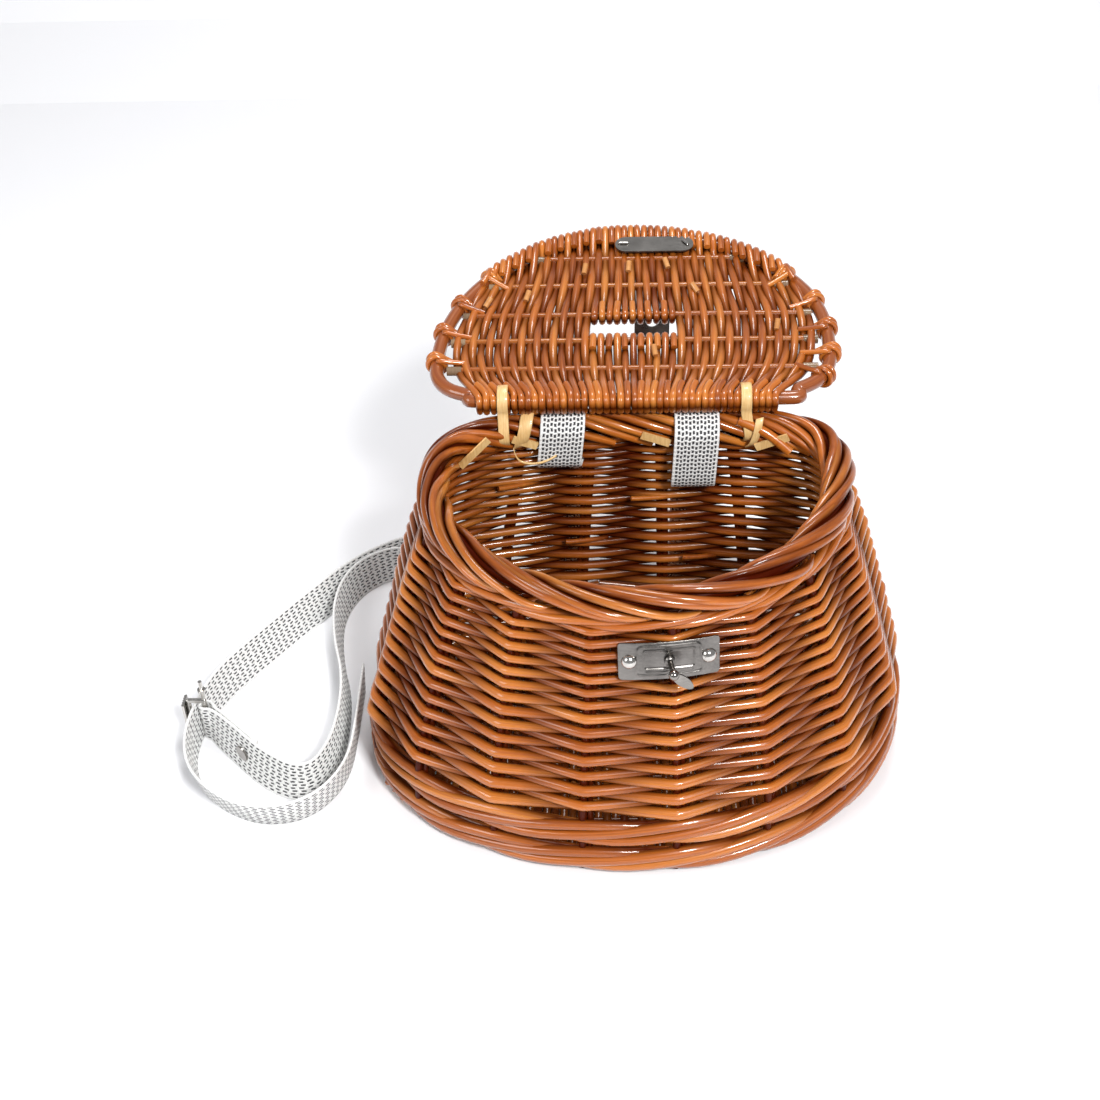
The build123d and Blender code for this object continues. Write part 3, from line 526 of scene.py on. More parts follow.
def build_base():
    """Flat mat under the creel: cross sticks with rods woven over and under them."""
    bundle = Bundle()
    foot = WALL[4]
    for y in BASE_STICKS:
        reach = np.abs(foot[np.abs(foot[:, 1] - y) < 2.0, 0]).min() - 4.0
        bundle.rod([(-reach, y, 5.0), (0, y, BASE_HEIGHT), (reach, y, 5.0)], BASE_STICK_RADIUS, sides=2)
    for c in range(BASE_RODS):
        x = -BASE_HALF_WIDTH + 2 * BASE_HALF_WIDTH * c / (BASE_RODS - 1)
        near = foot[np.abs(foot[:, 0] - x) < 3.5, 1]
        low, high = near.min() + 3.0, near.max() - 3.0
        points = [(x, low, BASE_HEIGHT)]
        for k, y in enumerate(BASE_STICKS):
            if low + 8 < y < high - 8:
                over = BASE_STICK_RADIUS if (c + k) % 2 == 0 else -BASE_STICK_RADIUS
                z = BASE_HEIGHT + over
                points += [(x, y - 3, z), (x, y + 3, z)]
        points.append((x, high, BASE_HEIGHT))
        bundle.rod(points, BASE_ROD_RADIUS, sides=2)
    bundle.finish("willow_base", willow, "basket", "base_weave", "base_sticks", crevice=base_painted_shade)


build_stakes()
build_randing()
build_foot()
build_top_wale()
build_border()
build_base()


# ---------------------------------------------------------------- lid, worked out shut
LID_DEPTH = 154.0
LID = (113.0, 0.0, -LID_DEPTH, 34.0, 58.0, 4.2)
OPEN = math.radians(173.0)
HINGE_Y, HINGE_Z = 84.5, 188.4
# the hoop's way round the lid, in degrees, and the ends that it is bent into along the hinge
HOOP_FROM, HOOP_TO = 161.0, 390.0
HOOP_LEFT_END = [(-62, 0.0), (-84, 0.0), (-95, 0.6)]
HOOP_RIGHT_END = [(94, 0.6), (84, 0.0), (62, 0.0)]
STICK_DEPTHS = (26.0, 51.0, 75.0, 103.0, 130.0)
HOOP_RADIUS, HINGE_ROD_RADIUS, STICK_RADIUS, STICK_END_RADIUS = 4.1, 4.0, 2.5, 2.75
# the mat leaves the hoop's sides by so much at the hinge, and meets them at a depth
MAT_INSET, MEETS_HOOP = 12.0, 118.0


def opened(x, depth, height):
    """Lid point in mm: across, away from the hinge, out of the lid's outer face."""
    c, s = math.cos(OPEN), math.sin(OPEN)
    return x, HINGE_Y - depth * c + height * s, HINGE_Z + depth * s + height * c


def hoop_points(count):
    """Points along the hoop's middle line, as across and depth."""
    x, y = outline(np.radians(np.linspace(HOOP_FROM, HOOP_TO, count)), LID)
    return [(a, -b) for a, b in zip(x, y)]


HOOP = hoop_points(361)


def hoop_x(depth, side):
    """How far the hoop stands from the middle at a depth, on one side."""
    near = [p for p in HOOP if p[0] * side > 0]
    return abs(min(near, key=lambda p: abs(p[1] - depth))[0])


def hoop_depth(x):
    """How deep the hoop's front lies at a place across."""
    return max((p for p in HOOP if p[1] > 40), key=lambda p: -abs(p[0] - x))[1]


def mat_x(depth, side):
    """How far the mat reaches from the middle: it meets the hoop only in front."""
    inset = MAT_INSET * (1 - (depth / MEETS_HOOP) ** 2) if depth < MEETS_HOOP else 0.0
    return hoop_x(depth, side) - inset


def lid_painted_shade(points):
    """1 in the lid's middle plane, 0 on the faces of the rods."""
    c, s = math.cos(OPEN), math.sin(OPEN)
    height = np.abs((points[:, 1] - HINGE_Y) * s + (points[:, 2] - HINGE_Z) * c)
    # painted shade, darkest in the lid's middle plane
    return np.clip((3.8 - height) / 3.7, 0.0, 1.0)


def build_lid_frame():
    """One hoop bent round into the hinge rod, a rod between its ends, and the cross sticks."""
    hoop = Bundle()
    bend = [p for p in hoop_points(41) if p[1] > 9 or abs(p[0]) < 90]
    points = [opened(x, depth, 0) for x, depth in HOOP_LEFT_END + bend + HOOP_RIGHT_END]
    hoop.rod(points, HOOP_RADIUS, resolution=5, sides=3)
    hoop.finish("willow_lid_hoop", willow_dark, "lid", "lid_hoop")
    rod = Bundle()
    rod.rod([opened(x, 0, 0) for x in (-64, -40, 20, 64)], HINGE_ROD_RADIUS, resolution=6, sides=3)
    rod.finish("willow_hinge_rod", willow_dark, "lid", "lid_hinge_rod")
    sticks, stick_ends = Bundle(), Bundle()
    for depth in STICK_DEPTHS:
        left, right = -hoop_x(depth, -1) + 6.5, hoop_x(depth, 1) - 6.5
        points = [opened(left, depth, 0), opened(0, depth + 0.6, 0), opened(right, depth, 0)]
        sticks.rod(points, STICK_RADIUS, sides=2)
        for x, way in ((left, 1), (right, -1)):
            cut = [opened(x - way * 0.4, depth, -0.2), opened(x + way * 8, depth, -0.2)]
            stick_ends.rod(cut, STICK_END_RADIUS, sides=2)
    sticks.finish("willow_lid_sticks", willow, "lid", "lid_sticks", crevice=lid_painted_shade)
    stick_ends.finish("willow_lid_stick_ends", willow_grey, "lid")


LID_RODS, THINNEST_LID_ROD, THICKEST_LID_ROD = 45, 2.2, 2.55
MAT_EDGE = 6.0
WIDEST = LID_DEPTH - 44.0
# how far the rods swing over the sticks, and over the frame and the two sticks of the hasp's slot
OVER_STICK, ROUND_FRAME, ROUND_STICK = 2.7, 5.9, 3.3
SLOT_NEAR, SLOT_FAR = STICK_DEPTHS[1], STICK_DEPTHS[2]
SLOT_LEFT, SLOT_RIGHT = -24.5, 26.5
# the mat is pressed flat between the two plates of the hasp, which stands over the latch
HASP_NEAR, HASP_FAR, HASP_PRESSED = 128.0, 148.0, 2.3


def round_end(depth, radius, face, towards):
    """Control points of a rod that wraps a cross rod and tucks back, as (depth, height)."""
    r = radius
    return [
        (depth - towards * 9.0, -face * r * 0.75),
        (depth - towards * 1.0, -face * r),
        (depth + towards * r * 0.95, -face * r * 0.75),
        (depth + towards * r * 1.05, face * r * 0.55),
        (depth + towards * r * 0.2, face * r),
    ]


def mat_rod_x(share, depth):
    """How far across a mat rod lies at a depth, from its share of the mat's half width."""
    side = -1 if share < 0 else 1
    return share * mat_x(min(max(depth, MAT_EDGE), WIDEST), side)


def mat_runs(share, middle, end):
    """The way of one mat rod as (depth, height), in two runs where the slot interrupts it."""
    first_face = 1 if middle and middle[0][1] < 0 else -1
    last_face = -1 if middle and middle[-1][1] > 0 else 1
    start_wrap = round_end(0.0, ROUND_FRAME, first_face, -1)
    end_wrap = round_end(end, ROUND_FRAME, last_face, 1)[::-1]
    if not SLOT_LEFT < mat_rod_x(share, (SLOT_NEAR + SLOT_FAR) / 2) < SLOT_RIGHT:
        return [start_wrap + middle + end_wrap]
    near = [m for m in middle if m[0] < SLOT_NEAR - 5]
    far = [m for m in middle if m[0] > SLOT_FAR + 5]
    near_face = -1 if near[-1][1] > 0 else 1
    far_face = -1 if far[0][1] > 0 else 1
    return [
        start_wrap + near + round_end(SLOT_NEAR, ROUND_STICK, near_face, 1)[::-1],
        round_end(SLOT_FAR, ROUND_STICK, far_face, -1) + far + end_wrap,
    ]


def build_lid_mat():
    """Rods woven from the hinge rod to the front of the hoop, over and under the sticks."""
    bundle = Bundle()
    for c in range(LID_RODS):
        share = -1 + 2 * c / (LID_RODS - 1)
        end = hoop_depth(mat_rod_x(share, WIDEST))
        radius = random.uniform(THINNEST_LID_ROD, THICKEST_LID_ROD)
        middle = []
        for k, depth in enumerate(STICK_DEPTHS):
            if depth < end - 7:
                middle.append((depth, OVER_STICK if (c + k) % 2 == 0 else -OVER_STICK))
        stick_depths = [depth for depth, _ in middle]
        for run in mat_runs(share, middle, end):
            points = []
            for depth, height in run:
                x = mat_rod_x(share, depth)
                wobble = random.uniform(-0.35, 0.35)
                if abs(x - LATCH_X) < LATCH_REACH_X and HASP_NEAR < depth < HASP_FAR:
                    height = min(max(height, -HASP_PRESSED), HASP_PRESSED)
                points.append(opened(x + wobble, depth, height))
            thick = [1.08 if depth in stick_depths else 0.86 for depth, _ in run]
            bundle.rod(points, radius, resolution=4, sides=2, swell=thick)
    bundle.finish("willow_lid_mat", willow, "lid", "lid_weave", crevice=lid_painted_shade)


# depths at which a rod goes round the hoop, at the left and at the right
SIDE_WRAPS = (33.0, 59.0, 85.0, 112.0), (18.0, 37.0, 60.0, 86.0, 112.0)
WRAP_TURNS, WRAP_STEPS, WRAP_REACH, WRAP_WIDTH, WRAP_RADIUS = 2.0, 20, 5.4, 7.0, 1.55


def side_wrap(depth, side, near):
    """The way of a rod that leaves the mat's edge, goes twice round the hoop and comes back."""
    i = min(near, key=lambda k: abs(HOOP[k][1] - depth))
    centre = Vector((HOOP[i][0], HOOP[i][1], 0))
    behind, ahead = HOOP[i - 1], HOOP[i + 1]
    along = Vector((ahead[0] - behind[0], ahead[1] - behind[1], 0)).normalized()
    if along.y < 0:
        along = -along
    inward = Vector((-side, 0, 0))
    inward = (inward - along * inward.dot(along)).normalized()
    lift = Vector((0, 0, 1))
    way = [centre + inward * 17 - along * 2 - lift * 2.0, centre + inward * 9 - along * 3 - lift * 3.4]
    for n in range(WRAP_STEPS + 1):
        share = n / WRAP_STEPS
        angle = TAU * WRAP_TURNS * share - math.pi / 2
        round_hoop = (inward * math.cos(angle) + lift * math.sin(angle)) * WRAP_REACH
        way.append(centre + round_hoop + along * (share - 0.5) * WRAP_WIDTH)
    way += [centre + inward * 9 + along * 3 + lift * 2.6, centre + inward * 17 + along * 3 + lift * 1.5]
    return way


def build_side_wraps():
    """Rods that tie the mat to the sides of the hoop."""
    bundle = Bundle()
    for side, depths in zip((-1, 1), SIDE_WRAPS):
        near = [i for i in range(2, len(HOOP) - 2) if HOOP[i][0] * side > 0]
        for depth in depths:
            points = [opened(*p) for p in side_wrap(depth, side, near)]
            bundle.rod(points, WRAP_RADIUS, resolution=3, sides=2)
    bundle.finish("willow_side_wraps", willow, "lid", "lid_side_wraps")


TIP_RADIUS = 1.7
# rod ends on the lid's inner face: across, depth, and how far each is turned (degrees)
LID_TIPS = (
    (-1.5, 118.0, 5.0), (21.0, 121.0, -20.0), (-28.0, 116.0, 12.0), (37.0, 96.0, -35.0),
    (-62.0, 90.0, 20.0), (-85.0, 84.0, 35.0), (12.0, 38.0, -10.0), (84.0, 60.0, 10.0),
)


def build_cut_tips():
    """Rod ends cut off on the slant that stand out of the lid's inner face."""
    bundle = Bundle()
    for x, depth, turn in LID_TIPS:
        ahead, aside = math.cos(math.radians(turn)), math.sin(math.radians(turn))
        steps = ((-4, -3.4), (0, -5.2), (2, -6.4))
        points = [opened(x + aside * step, depth + ahead * step, height) for step, height in steps]
        bundle.rod(points, TIP_RADIUS, sides=2)
    bundle.finish("willow_cut_tips", willow_pale, "lid")


build_lid_frame()
build_cut_tips()
build_lid_mat()
build_side_wraps()


# ---------------------------------------------------------------- webbing
WEB_WIDTH, WEB_THICKNESS = 0.025, 0.0016
THREAD_SPACING = 0.00208
SELVEDGE_FROM = 0.0112


def webbing_material(name, pitch, width, length):
    """White webbing: soft, matt yarn with dark threads that show as rows of dashes, 12 across it."""
    g = Graph(name)
    uv = g.add("UVMap", {"uv_map": "UVMap"})
    across, along = (g.add("SeparateXYZ", output=letter, Vector=uv) for letter in "XY")
    # the columns of dashes wander by up to 1.6 mm, over 17 mm across and 4 mm along
    wander = g.add("VectorMath", TIMES, uv, (60.0, 260.0, 1.0))
    wander = g.add("TexNoise", Vector=wander, Scale=1.0, Detail=2.0, Roughness=0.55)
    column = g.add("Math", PLUS, across, g.add("Math", TIMES, wander, 0.0016))
    column = g.add("Math", TIMES, column, 1 / THREAD_SPACING)
    in_column = g.add("Math", SIZE, g.add("Math", MINUS, g.add("Math", FRACTION, column), 0.5))
    stagger = g.add("Math", TIMES, g.add("Math", WHOLE, g.add("Math", REMAINDER, column, 2.0)), 0.22)
    row = g.add("Math", PLUS, g.add("Math", TIMES, along, 1 / pitch), stagger)
    in_row = g.add("Math", SIZE, g.add("Math", MINUS, g.add("Math", FRACTION, row), 0.5))
    beside = g.add("Math", TIMES, in_column, 2 / width)
    dash = g.add("Math", LARGER, beside, g.add("Math", TIMES, in_row, 2 / length))
    # no dashes in the selvedges
    off_middle = g.add("Math", SIZE, g.add("Math", MINUS, across, WEB_WIDTH / 2))
    selvedge = g.add("Math", OVER, off_middle, SELVEDGE_FROM)
    dash = g.add("Math", LARGER, dash, g.add("Math", TIMES, selvedge, 1.6))
    # fibres 0.7 mm apart
    fuzz = g.add("VectorMath", TIMES, uv, (1500.0, 1500.0, 1.0))
    fuzz = g.add("TexNoise", Vector=fuzz, Scale=1.0, Detail=2.0, Roughness=0.55)
    edge = g.add("Math", PLUS, dash, g.add("Math", TIMES, g.add("Math", MINUS, fuzz, 0.5), 0.5))
    edge = g.add("ValToRGB", {"stops": ((0.72, "000000"), (1.0, "FFFFFF"))}, edge)
    yarn = g.add("ValToRGB", {"stops": ((0.3, "D2D2D0"), (0.7, "F6F6F4"))}, fuzz)
    colour = g.add("Mix", COLOURS, edge, output=2, A_Color=srgb("38373A"), B_Color=yarn)
    bead = g.add("Math", COSINE, g.add("Math", TIMES, row, TAU))
    weave = g.add("Math", PLUS, dash, g.add("Math", TIMES, bead, 0.25))
    g.surface(Base_Color=colour, Roughness=0.75, Specular_IOR_Level=0.3, Sheen_Weight=0.1)
    g.surface(Normal=g.add("Bump", Height=weave, Distance=0.0005, Strength=0.7))
    return g.material


# webbing of the long and the short strap: dashes every 4.7 mm
webbing = webbing_material("woven_webbing", 0.0047, 0.54, 0.62)
# the loops on the creel: dashes every 2.9 mm, wider and longer, so they run into each other and the webbing
# reads darker
loop_webbing = webbing_material("woven_webbing_worn", 0.0029, 0.74, 0.74)


def route(points, cyclic=False, resolution=14):
    """Points in metres read from the smooth spline through a route given in mm."""
    data = bpy.data.curves.new("route", "CURVE")
    data.dimensions = "3D"
    data.resolution_u = resolution
    spline = data.splines.new("NURBS")
    spline.points.add(len(points) - 1)
    for point, (x, y, z) in zip(spline.points, points):
        point.co = (x * MM, y * MM, z * MM, 1.0)
    spline.use_cyclic_u = cyclic
    spline.use_endpoint_u = not cyclic
    spline.order_u = 3
    holder = bpy.data.objects.new("route", data)
    mesh = bpy.data.meshes.new_from_object(holder)
    found = [v.co.copy() for v in mesh.vertices]
    bpy.data.objects.remove(holder)
    return found


def band(name, nodes, path, width_axes, width, thickness, material, slot, closed=False):
    """Flat band along a path, its width along the given axes, its UV in metres; it stays above the floor."""
    bm = bmesh.new()
    layer = bm.loops.layers.uv.new("UVMap")
    w, t = width / 2, thickness / 2
    section = [(-w, -t * 0.5), (-w + t, -t), (0, -t), (w - t, -t), (w, -t * 0.5)]
    section += [(-a, -b) for a, b in section]
    rings, run = [], [0.0]
    for i, place in enumerate(path):
        ahead = path[(i + 1) % len(path)] if closed or i + 1 < len(path) else place
        behind = path[i - 1] if closed or i else place
        across = width_axes[i].normalized()
        face = (ahead - behind).cross(across).normalized()
        corners = [place + across * a + face * b for a, b in section]
        rings.append([bm.verts.new((x, y, max(z, 0.0))) for x, y, z in corners])
        if i:
            run.append(run[-1] + (place - path[i - 1]).length)
    if closed:
        rings.append(rings[0])
        run.append(run[-1] + (path[0] - path[-1]).length)
    for low, high, v0, v1 in zip(rings, rings[1:], run, run[1:]):
        for k in range(len(section)):
            n = (k + 1) % len(section)
            quad = bm.faces.new((low[k], low[n], high[n], high[k]))
            quad.smooth = True
            u0, u1 = section[k][0] + w, section[n][0] + w
            for loop, uv in zip(quad.loops, ((u0, v0), (u1, v0), (u1, v1), (u0, v1))):
                loop[layer].uv = uv
    if not closed:
        bm.faces.new(rings[0][::-1])
        bm.faces.new(rings[-1])
    bmesh.ops.recalc_face_normals(bm, faces=bm.faces)
    return place_piece(bm, name, material, "basket", slot, *nodes, smooth=False)


def strap_axes(path, leans):
    """Width axis of a strap standing on edge: up, leaned by some degrees to its right."""
    axes, side = [], Vector((0, 1, 0))
    for i in range(len(path)):
        heading = path[min(i + 1, len(path) - 1)] - path[max(i - 1, 0)]
        heading.normalize()
        if math.hypot(heading.x, heading.y) > 0.15:
            side = Vector((heading.y, -heading.x, 0)).normalized()
        up = side.cross(heading)
        share = i / (len(path) - 1) * (len(leans) - 1)
        lean = math.radians(float(np.interp(share, range(len(leans)), leans)))
        axes.append(up * math.cos(lean) + side * math.sin(lean))
    return axes


def build_strap(name, node, points, leans):
    """Strap that comes out of the creel's back and lies on the floor, standing on edge."""
    path = route(points)
    axes = strap_axes(path, leans)
    strap = band(name, [node], path, axes, WEB_WIDTH, WEB_THICKNESS, webbing, "webbing")


# half the width of a strap on edge, and where the buckle stands on the floor, the way through it
# and the way across the fold round its bar (mm)
EDGE = 12.6
BUCKLE = Vector((-255.5, 8.64))
HEADING, FOLD = Vector((-0.7153, 0.6991)), Vector((0.6991, 0.7153))


def at_buckle(ahead, aside):
    """Strap point at the buckle, so far along the strap and so far across the fold."""
    place = BUCKLE + HEADING * ahead + FOLD * aside
    return place.x, place.y, EDGE


SHORT_ROUTE = [
    (-40, 106, 172), (-40, 106, 110), (-40, 106, 12.6), (-104, 106, 12.6), (-128, 134, 12.2),
    (-150, 158, 12.2), (-178, 143, 12.4), (-190, 112, 12.2), (-186, 72, 12.2), (-174, 32, 12.2),
    (-174, -18, 12.2), (-186, -44, 12.2), (-211, -36, 12.0), at_buckle(-14, -0.8), at_buckle(-5, -0.9),
    at_buckle(-1.5, -3.2), at_buckle(3.0, -3.0), at_buckle(3.0, 3.0), at_buckle(-1.5, 3.2),
    at_buckle(-5, 0.9), at_buckle(-14, 0.85), at_buckle(-46, 0.85),
]
SHORT_LEANS = (0, 0, 0, 0, 5, 10, 12, 8, 8, 8, 10, 14, 18, 14, 8, 4, 0, 0, -4, -8, -14, -18)
LONG_ROUTE = [
    (35, 110, 172), (35, 110, 110), (35, 110, 12.6), (-62, 110, 12.6), (-100, 150, 12.2),
    (-140, 172, 12.0), (-178, 148, 11.9), (-205, 112, 11.9), (-232, 72, 11.9), (-252, 42, 12.1),
    (-262, 10, 12.4), (-262, -22, 12.3), (-248, -48, 12.0), (-218, -67, 11.8), (-186, -63, 11.9),
    (-166.5, -36, 12.1), (-165, 4, 12.4), (-166, 44, 12.3),
]
LONG_LEANS = (0, 0, 0, 0, 8, 14, 18, 20, 18, 14, 6, 8, 14, 18, 16, 12, 6, 4)
build_strap("webbing_strap_short", "strap_short", SHORT_ROUTE, SHORT_LEANS)
build_strap("webbing_strap_long", "strap_long", LONG_ROUTE, LONG_LEANS)


def build_strap_loop(name, node, x, inner, outer, low, curl):
    """Webbing loop over the border, through the wall and up to the strap's rivet."""
    top = 182.0
    points = [
        (x, outer - 1, low + 30), (x, outer - 1, top - 4), (x, (inner + outer) / 2, top + 0.5),
        (x, inner + 1, top - 4), (x - curl, inner, (top + low) / 2), (x - curl * 2, inner + 2, low + 3),
        (x - curl, inner + 14, low - 0.5), (x, outer - 3, low + 4),
    ]
    path = route(points, cyclic=True)
    axes = [Vector((1, 0.0, 0.02 * curl))] * len(path)
    band(name, [node], path, axes, WEB_WIDTH, WEB_THICKNESS, loop_webbing, "webbing", closed=True)


build_strap_loop("webbing_loop_left", "strap_loop_left", -40.0, 71.6, 105.1, 146.0, 1.5)
build_strap_loop("webbing_loop_right", "strap_loop_right", 35.0, 69.0, 109.1, 133.0, 0.8)


# ---------------------------------------------------------------- cane ties
def cane_material():
    """Split pale cane: silky straight fibres, shaded by faint brown stains."""
    g = Graph("split_pale_cane")
    coords = g.add("TexCoord", output="Object")
    # fibres 0.7 mm wide and 6 mm long, stains 17 mm wide
    fibre = g.add("VectorMath", TIMES, coords, (1400.0, 160.0, 160.0))
    fibre = g.add("TexNoise", Vector=fibre, Scale=1.0, Detail=4.0, Roughness=0.6)
    stain_and_painted_shade = g.add("VectorMath", TIMES, coords, (60.0, 60.0, 60.0))
    stain_and_painted_shade = g.add("TexNoise", Vector=stain_and_painted_shade, Scale=1.0, Detail=2.0, Roughness=0.55)
    shade = g.add("Math", PLUS, g.add("Math", TIMES, fibre, 0.5), g.add("Math", TIMES, stain_and_painted_shade, 0.5))
    shades = {"stops": ((0.3, "B98A4E"), (0.55, "DDB77C"), (0.75, "EBD0A0"))}
    g.surface(Base_Color=g.add("ValToRGB", shades, shade), Roughness=0.45, Coat_Weight=0.25)
    g.surface(Normal=g.add("Bump", Height=fibre, Distance=0.0002, Strength=0.35))
    return g.material


cane = cane_material()
CANE_THICKNESS = 0.0011
TIE_AXIS, TIE_WIDTH = (1.0, 0.0, 0.04), 6.0
# the loops round the hinge rod and under the border: radii, and the height of the lower middle
TIE_UPPER_RADIUS, TIE_LOWER_RADIUS, TIE_LOWER_Z = 8.7, 10.6, 173.5
# piece, CAD node, place across, and how far across the lower end is slanted (mm)
CANE_TIES = (
    ("cane_tie_left", "hinge_tie_left", -73.5, 0.5),
    ("cane_tie_right", "hinge_tie_right", 62.0, 2.5),
)
# short strips: name, points, width axis, width
CANE_ENDS = (
    (
        "cane_knot",
        [
            (-58, 88.0, 184.5), (-60, 78.5, 183.5), (-61, 72.2, 178.0), (-63, 70.6, 170.0),
            (-65, 73.5, 163.5), (-65, 80, 161.5),
        ],
        (1.0, 0.15, 0.25),
        8.0,
    ),
    (
        "cane_knot_tail",
        [
            (-68, 71.5, 164.5), (-67, 69.5, 158.5), (-60, 69.0, 155.5), (-50, 69.5, 156.5),
            (-44, 71.0, 160.0),
        ],
        (0.0, 0.25, 1.0),
        1.4,
    ),
    (
        "cane_tie_second_turn",
        [
            (69.5, 74.6, 181.6), (69.0, 72.0, 179.6), (68.0, 71.0, 173.0), (66.0, 71.6, 165.5),
            (64.5, 76, 161.8),
        ],
        (1.0, 0.1, 0.25),
        4.6,
    ),
)


def cane_strip(name, nodes, points, axis, width, closed):
    """Flat strip of split cane along points in mm, its width along the axis."""
    path = route(points, cyclic=closed, resolution=6)
    axes = [Vector(axis)] * len(path)
    band(name, nodes, path, axes, width * MM, CANE_THICKNESS, cane, "pale_cane", closed=closed)


def tie_points(x, slant, rim_y):
    """Loop round the lid's wrapped hinge rod and the border, its lower end slanted across by some mm."""
    points = []
    for angle in range(-30, 211, 30):
        c, s = math.cos(math.radians(angle)), math.sin(math.radians(angle))
        points.append((x, HINGE_Y + TIE_UPPER_RADIUS * c, HINGE_Z + TIE_UPPER_RADIUS * s))
    for angle in range(190, 351, 32):
        c, s = math.cos(math.radians(angle)), math.sin(math.radians(angle))
        points.append((x + slant, rim_y + TIE_LOWER_RADIUS * c, TIE_LOWER_Z + TIE_LOWER_RADIUS * s))
    return points


def build_ties():
    """The two loops that are the lid's hinge, and the strips left over from tying them."""
    rear = WALL[int(RIM_MIDDLE)]
    for name, node, x, slant in CANE_TIES:
        rim_y = rear[np.abs(rear[:, 0] - x) < 2.0, 1].max()
        cane_strip(name, [node], tie_points(x, slant, rim_y), TIE_AXIS, TIE_WIDTH, closed=True)
    for name, points, axis, width in CANE_ENDS:
        cane_strip(name, [], points, axis, width, closed=False)


# ---------------------------------------------------------------- metal
def metal_material(name, low, high, roughness, scratch):
    """Plated sheet steel: cloudy tone, fine scratches one way, a sheen that is uneven."""
    g = Graph(name)
    coords = g.add("TexCoord", output="Object")
    # clouds 14 mm wide; scratches 4 mm long and 0.6 to 1.1 mm wide, coarse enough to show
    cloud = g.add("VectorMath", TIMES, coords, (70.0, 70.0, 70.0))
    cloud = g.add("TexNoise", Vector=cloud, Scale=1.0, Detail=4.0, Roughness=0.55)
    lines = g.add("VectorMath", TIMES, coords, (250.0, 1800.0, 900.0))
    lines = g.add("TexNoise", Vector=lines, Scale=1.0, Detail=3.0, Roughness=0.55)
    shade = g.add("Math", PLUS, g.add("Math", TIMES, cloud, 0.7), g.add("Math", TIMES, lines, 0.3))
    colour = g.add("ValToRGB", {"stops": ((0.3, low), (0.7, high))}, shade)
    rough = g.add("Math", PLUS, g.add("Math", TIMES, cloud, 0.18), roughness - 0.09)
    g.surface(Base_Color=colour, Metallic=1.0, Roughness=rough)
    g.surface(Normal=g.add("Bump", Height=lines, Distance=0.0002, Strength=scratch))
    return g.material


# the hasp's leaf and the latch plate: plating dulled by handling
dull_steel = metal_material("dull_plated_steel", "5E5B58", "8D8985", 0.3, 0.25)
# the plate behind the mat, out of the hand's reach: darker and less glossy
satin_steel = metal_material("satin_plate_steel", "5C5A57", "75726F", 0.42, 0.3)
# the turn button and the strap's rivets: polished by wear
button_steel = metal_material("worn_button_steel", "75716D", "A9A59F", 0.2, 0.15)
# washers, buckle and staples: bright and nearly mirror smooth
bright_steel = metal_material("bright_nickel_plate", "A8A5A0", "DAD7D2", 0.16, 0.08)


# middle of the latch plate's back, the way out of the wall there and the way along it (metres)
LATCH = Vector((0.01482384, -0.07982644, 0.14452071))
LATCH_OUT = Vector((0.11106708, -0.96933376, 0.21921725))
LATCH_ALONG = Vector((-LATCH_OUT.y, LATCH_OUT.x, 0.0)).normalized()
# the plate is bent to the wall's curve; its half width and half height, and its face's height (mm)
PLATE_BEND = 118.0
PLATE_HALF_WIDTH, PLATE_HALF_HEIGHT, PLATE_FACE = 25.5, 10.5, 0.8
PLATE_THICKNESS = 0.0009
RIVET_SPREAD = 20.0
# half the outline of a rivet, from its domed top to the end of its shank: radius, height
RIVET_PROFILE = (
    (0, 2.7), (1.5, 2.5), (2.7, 1.9), (3.6, 1.0), (4.1, 0), (4.1, -0.3), (1.5, -0.3), (1.5, -14), (0, -14),
)


def beside_box(u, v, half_u, half_v, corner):
    """Distance in mm outside a rounded rectangle, and the way out of it."""
    a, b = abs(u) - half_u + corner, abs(v) - half_v + corner
    away = Vector((max(a, 0.0), max(b, 0.0)))
    if away.length > 0:
        way = Vector((math.copysign(away.x, u), math.copysign(away.y, v))).normalized()
    else:
        way = Vector((math.copysign(1, u), 0)) if a > b else Vector((0, math.copysign(1, v)))
    return away.length + min(max(a, b), 0.0) - corner, way


def stamped_height(u, v):
    """Height of the stamped plate in mm: two raised outlines, a sunk panel and a low rib."""
    flare = 16.0 - 0.08 * (v - 2.0)
    outer, _ = beside_box(u, v, flare, 8.3, 2.6)
    inner, _ = beside_box(u, v - 0.6, 12.8, 5.4, 1.6)
    height = 0.5 * math.exp(-((outer / 0.62) ** 2)) + 0.45 * math.exp(-((inner / 0.55) ** 2))
    height -= 0.35 / (1 + math.exp(inner / 0.3))
    rib = math.hypot(max(abs(u) - 11.4, 0.0), v + 6.3)
    return height + 0.6 * math.exp(-((rib / 0.65) ** 2))


def facing(way, place):
    """Turns the Z axis to a way and moves the origin to a place."""
    turn = way.to_track_quat("Z", "Y").to_matrix().to_4x4()
    turn.translation = place
    return turn


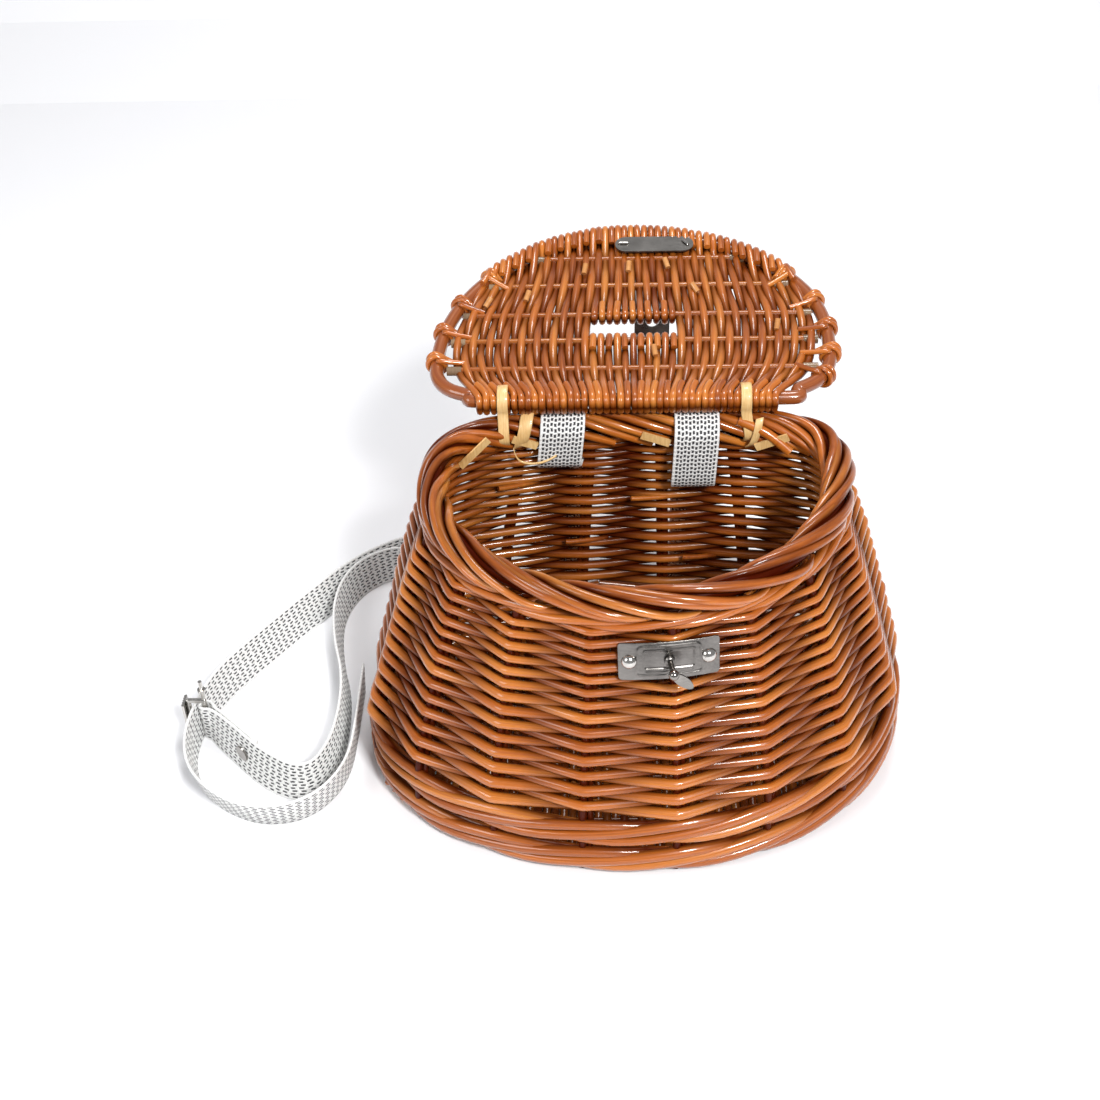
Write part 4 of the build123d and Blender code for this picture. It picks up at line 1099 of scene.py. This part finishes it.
def build_latch_plate():
    """Stamped plate with a boss that the turn button stands on."""
    bm = bmesh.new()
    bmesh.ops.create_grid(bm, x_segments=136, y_segments=56, size=1.0)
    up = LATCH_OUT.cross(LATCH_ALONG)
    for vert in bm.verts:
        u, v = vert.co.x * PLATE_HALF_WIDTH, vert.co.y * PLATE_HALF_HEIGHT
        beyond, way = beside_box(u, v, PLATE_HALF_WIDTH, PLATE_HALF_HEIGHT, 2.0)
        if beyond > 0:
            u, v = u - way.x * beyond, v - way.y * beyond
        rise = PLATE_BEND + PLATE_FACE + stamped_height(u, v)
        angle = u / PLATE_BEND
        place = LATCH_ALONG * rise * math.sin(angle) + up * v
        place += LATCH_OUT * (rise * math.cos(angle) - PLATE_BEND)
        vert.co = LATCH + place * MM
    bmesh.ops.recalc_face_normals(bm, faces=bm.faces)
    if sum((f.normal for f in bm.faces), Vector()).dot(LATCH_OUT) < 0:
        bmesh.ops.reverse_faces(bm, faces=bm.faces)
    bmesh.ops.solidify(bm, geom=bm.faces[:], thickness=PLATE_THICKNESS)
    boss = bmesh.ops.create_cone(
        bm, cap_ends=True, segments=40, radius1=0.0029, radius2=0.0026, depth=0.0022,
    )
    bmesh.ops.transform(bm, matrix=facing(LATCH_OUT, LATCH + LATCH_OUT * 0.0015), verts=boss["verts"])
    place_piece(bm, "stamped_latch_plate", dull_steel, "basket", "plated_steel", "latch_plate")


def build_latch_rivets():
    """Two round-headed rivets through the latch plate and the wall."""
    bm = bmesh.new()
    for spread in (-RIVET_SPREAD, RIVET_SPREAD):
        angle = spread / PLATE_BEND
        way = LATCH_ALONG * math.sin(angle) + LATCH_OUT * math.cos(angle)
        foot = LATCH + (way * (PLATE_BEND + PLATE_FACE) - LATCH_OUT * PLATE_BEND) * MM
        line = [bm.verts.new((radius * MM, 0, height * MM)) for radius, height in RIVET_PROFILE]
        edges = [bm.edges.new(pair) for pair in zip(line, line[1:])]
        bmesh.ops.spin(bm, geom=line + edges, axis=(0, 0, 1), cent=(0, 0, 0), steps=28, angle=TAU)
        fresh = [vert for vert in bm.verts if not vert.tag]
        bmesh.ops.transform(bm, matrix=facing(way, foot), verts=fresh)
        for vert in fresh:
            vert.tag = True
    bmesh.ops.remove_doubles(bm, verts=bm.verts[:], dist=1e-6)
    bmesh.ops.recalc_face_normals(bm, faces=bm.faces)
    place_piece(bm, "domed_latch_rivets", bright_steel, "basket", "bright_steel", "latch_rivets")


def dress(material, *nodes):
    """Gives carried-over solids their material."""
    for node in nodes:
        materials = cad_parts[node].data.materials
        materials.clear()
        materials.append(material)


dress(satin_steel, "hasp_back_plate")
dress(dull_steel, "hasp_hinge_plate", "hasp_leaf", "hasp_pin")
dress(button_steel, "turn_button", "strap_rivets")
dress(bright_steel, "rivet_washers", "buckle_frame", "buckle_plate", "buckle_pin", "hasp_staples")
dress(cane, "cane_ends")
build_ties()
build_latch_plate()
build_latch_rivets()


# ---------------------------------------------------------------- stage
FLOOR_HALF, FLAT_TO, SWEEP = 1.6, 0.9, 1.4
WORLD_STRENGTH = 0.36
# name, place (m), width (m), power (W)
LAMPS = (
    ("key_light", (0.5, -1.05, 1.35), 0.28, 30.0),
    ("fill_light", (-1.2, -0.9, 1.1), 0.7, 10.5),
    ("top_light", (0.1, 0.7, 1.7), 0.5, 15.0),
)


def add_floor():
    """Pale matt paper that sweeps up behind the creel."""
    bm = bmesh.new()
    bmesh.ops.create_grid(bm, x_segments=24, y_segments=24, size=FLOOR_HALF)
    for vert in bm.verts:
        if vert.co.y > FLAT_TO:
            vert.co.z = (vert.co.y - FLAT_TO) ** 2 * SWEEP
    mesh = bpy.data.meshes.new("studio_floor")
    bm.to_mesh(mesh)
    bm.free()
    paper = Graph("pale_paper_floor")
    paper.surface(Base_Color=srgb("F0F0F2"), Roughness=0.8)
    mesh.materials.append(paper.material)
    floor = bpy.data.objects.new("studio_floor", mesh)
    bpy.context.scene.collection.objects.link(floor)


def add_lamps():
    """Three soft lamps in a pale room."""
    world = bpy.data.worlds.new("studio_world")
    world.use_nodes = True
    room = world.node_tree.nodes["Background"].inputs
    room["Color"].default_value = srgb("F6F7FA")
    room["Strength"].default_value = WORLD_STRENGTH
    bpy.context.scene.world = world
    for name, place, width, power in LAMPS:
        data = bpy.data.lights.new(name, "AREA")
        data.size = width
        data.energy = power
        lamp = bpy.data.objects.new(name, data)
        lamp.location = place
        aim = Vector((0, 0, 0.1)) - Vector(place)
        lamp.rotation_euler = aim.to_track_quat("-Z", "Y").to_euler()
        bpy.context.scene.collection.objects.link(lamp)


add_floor()
add_lamps()
bpy.context.scene.view_settings.view_transform = "Standard"
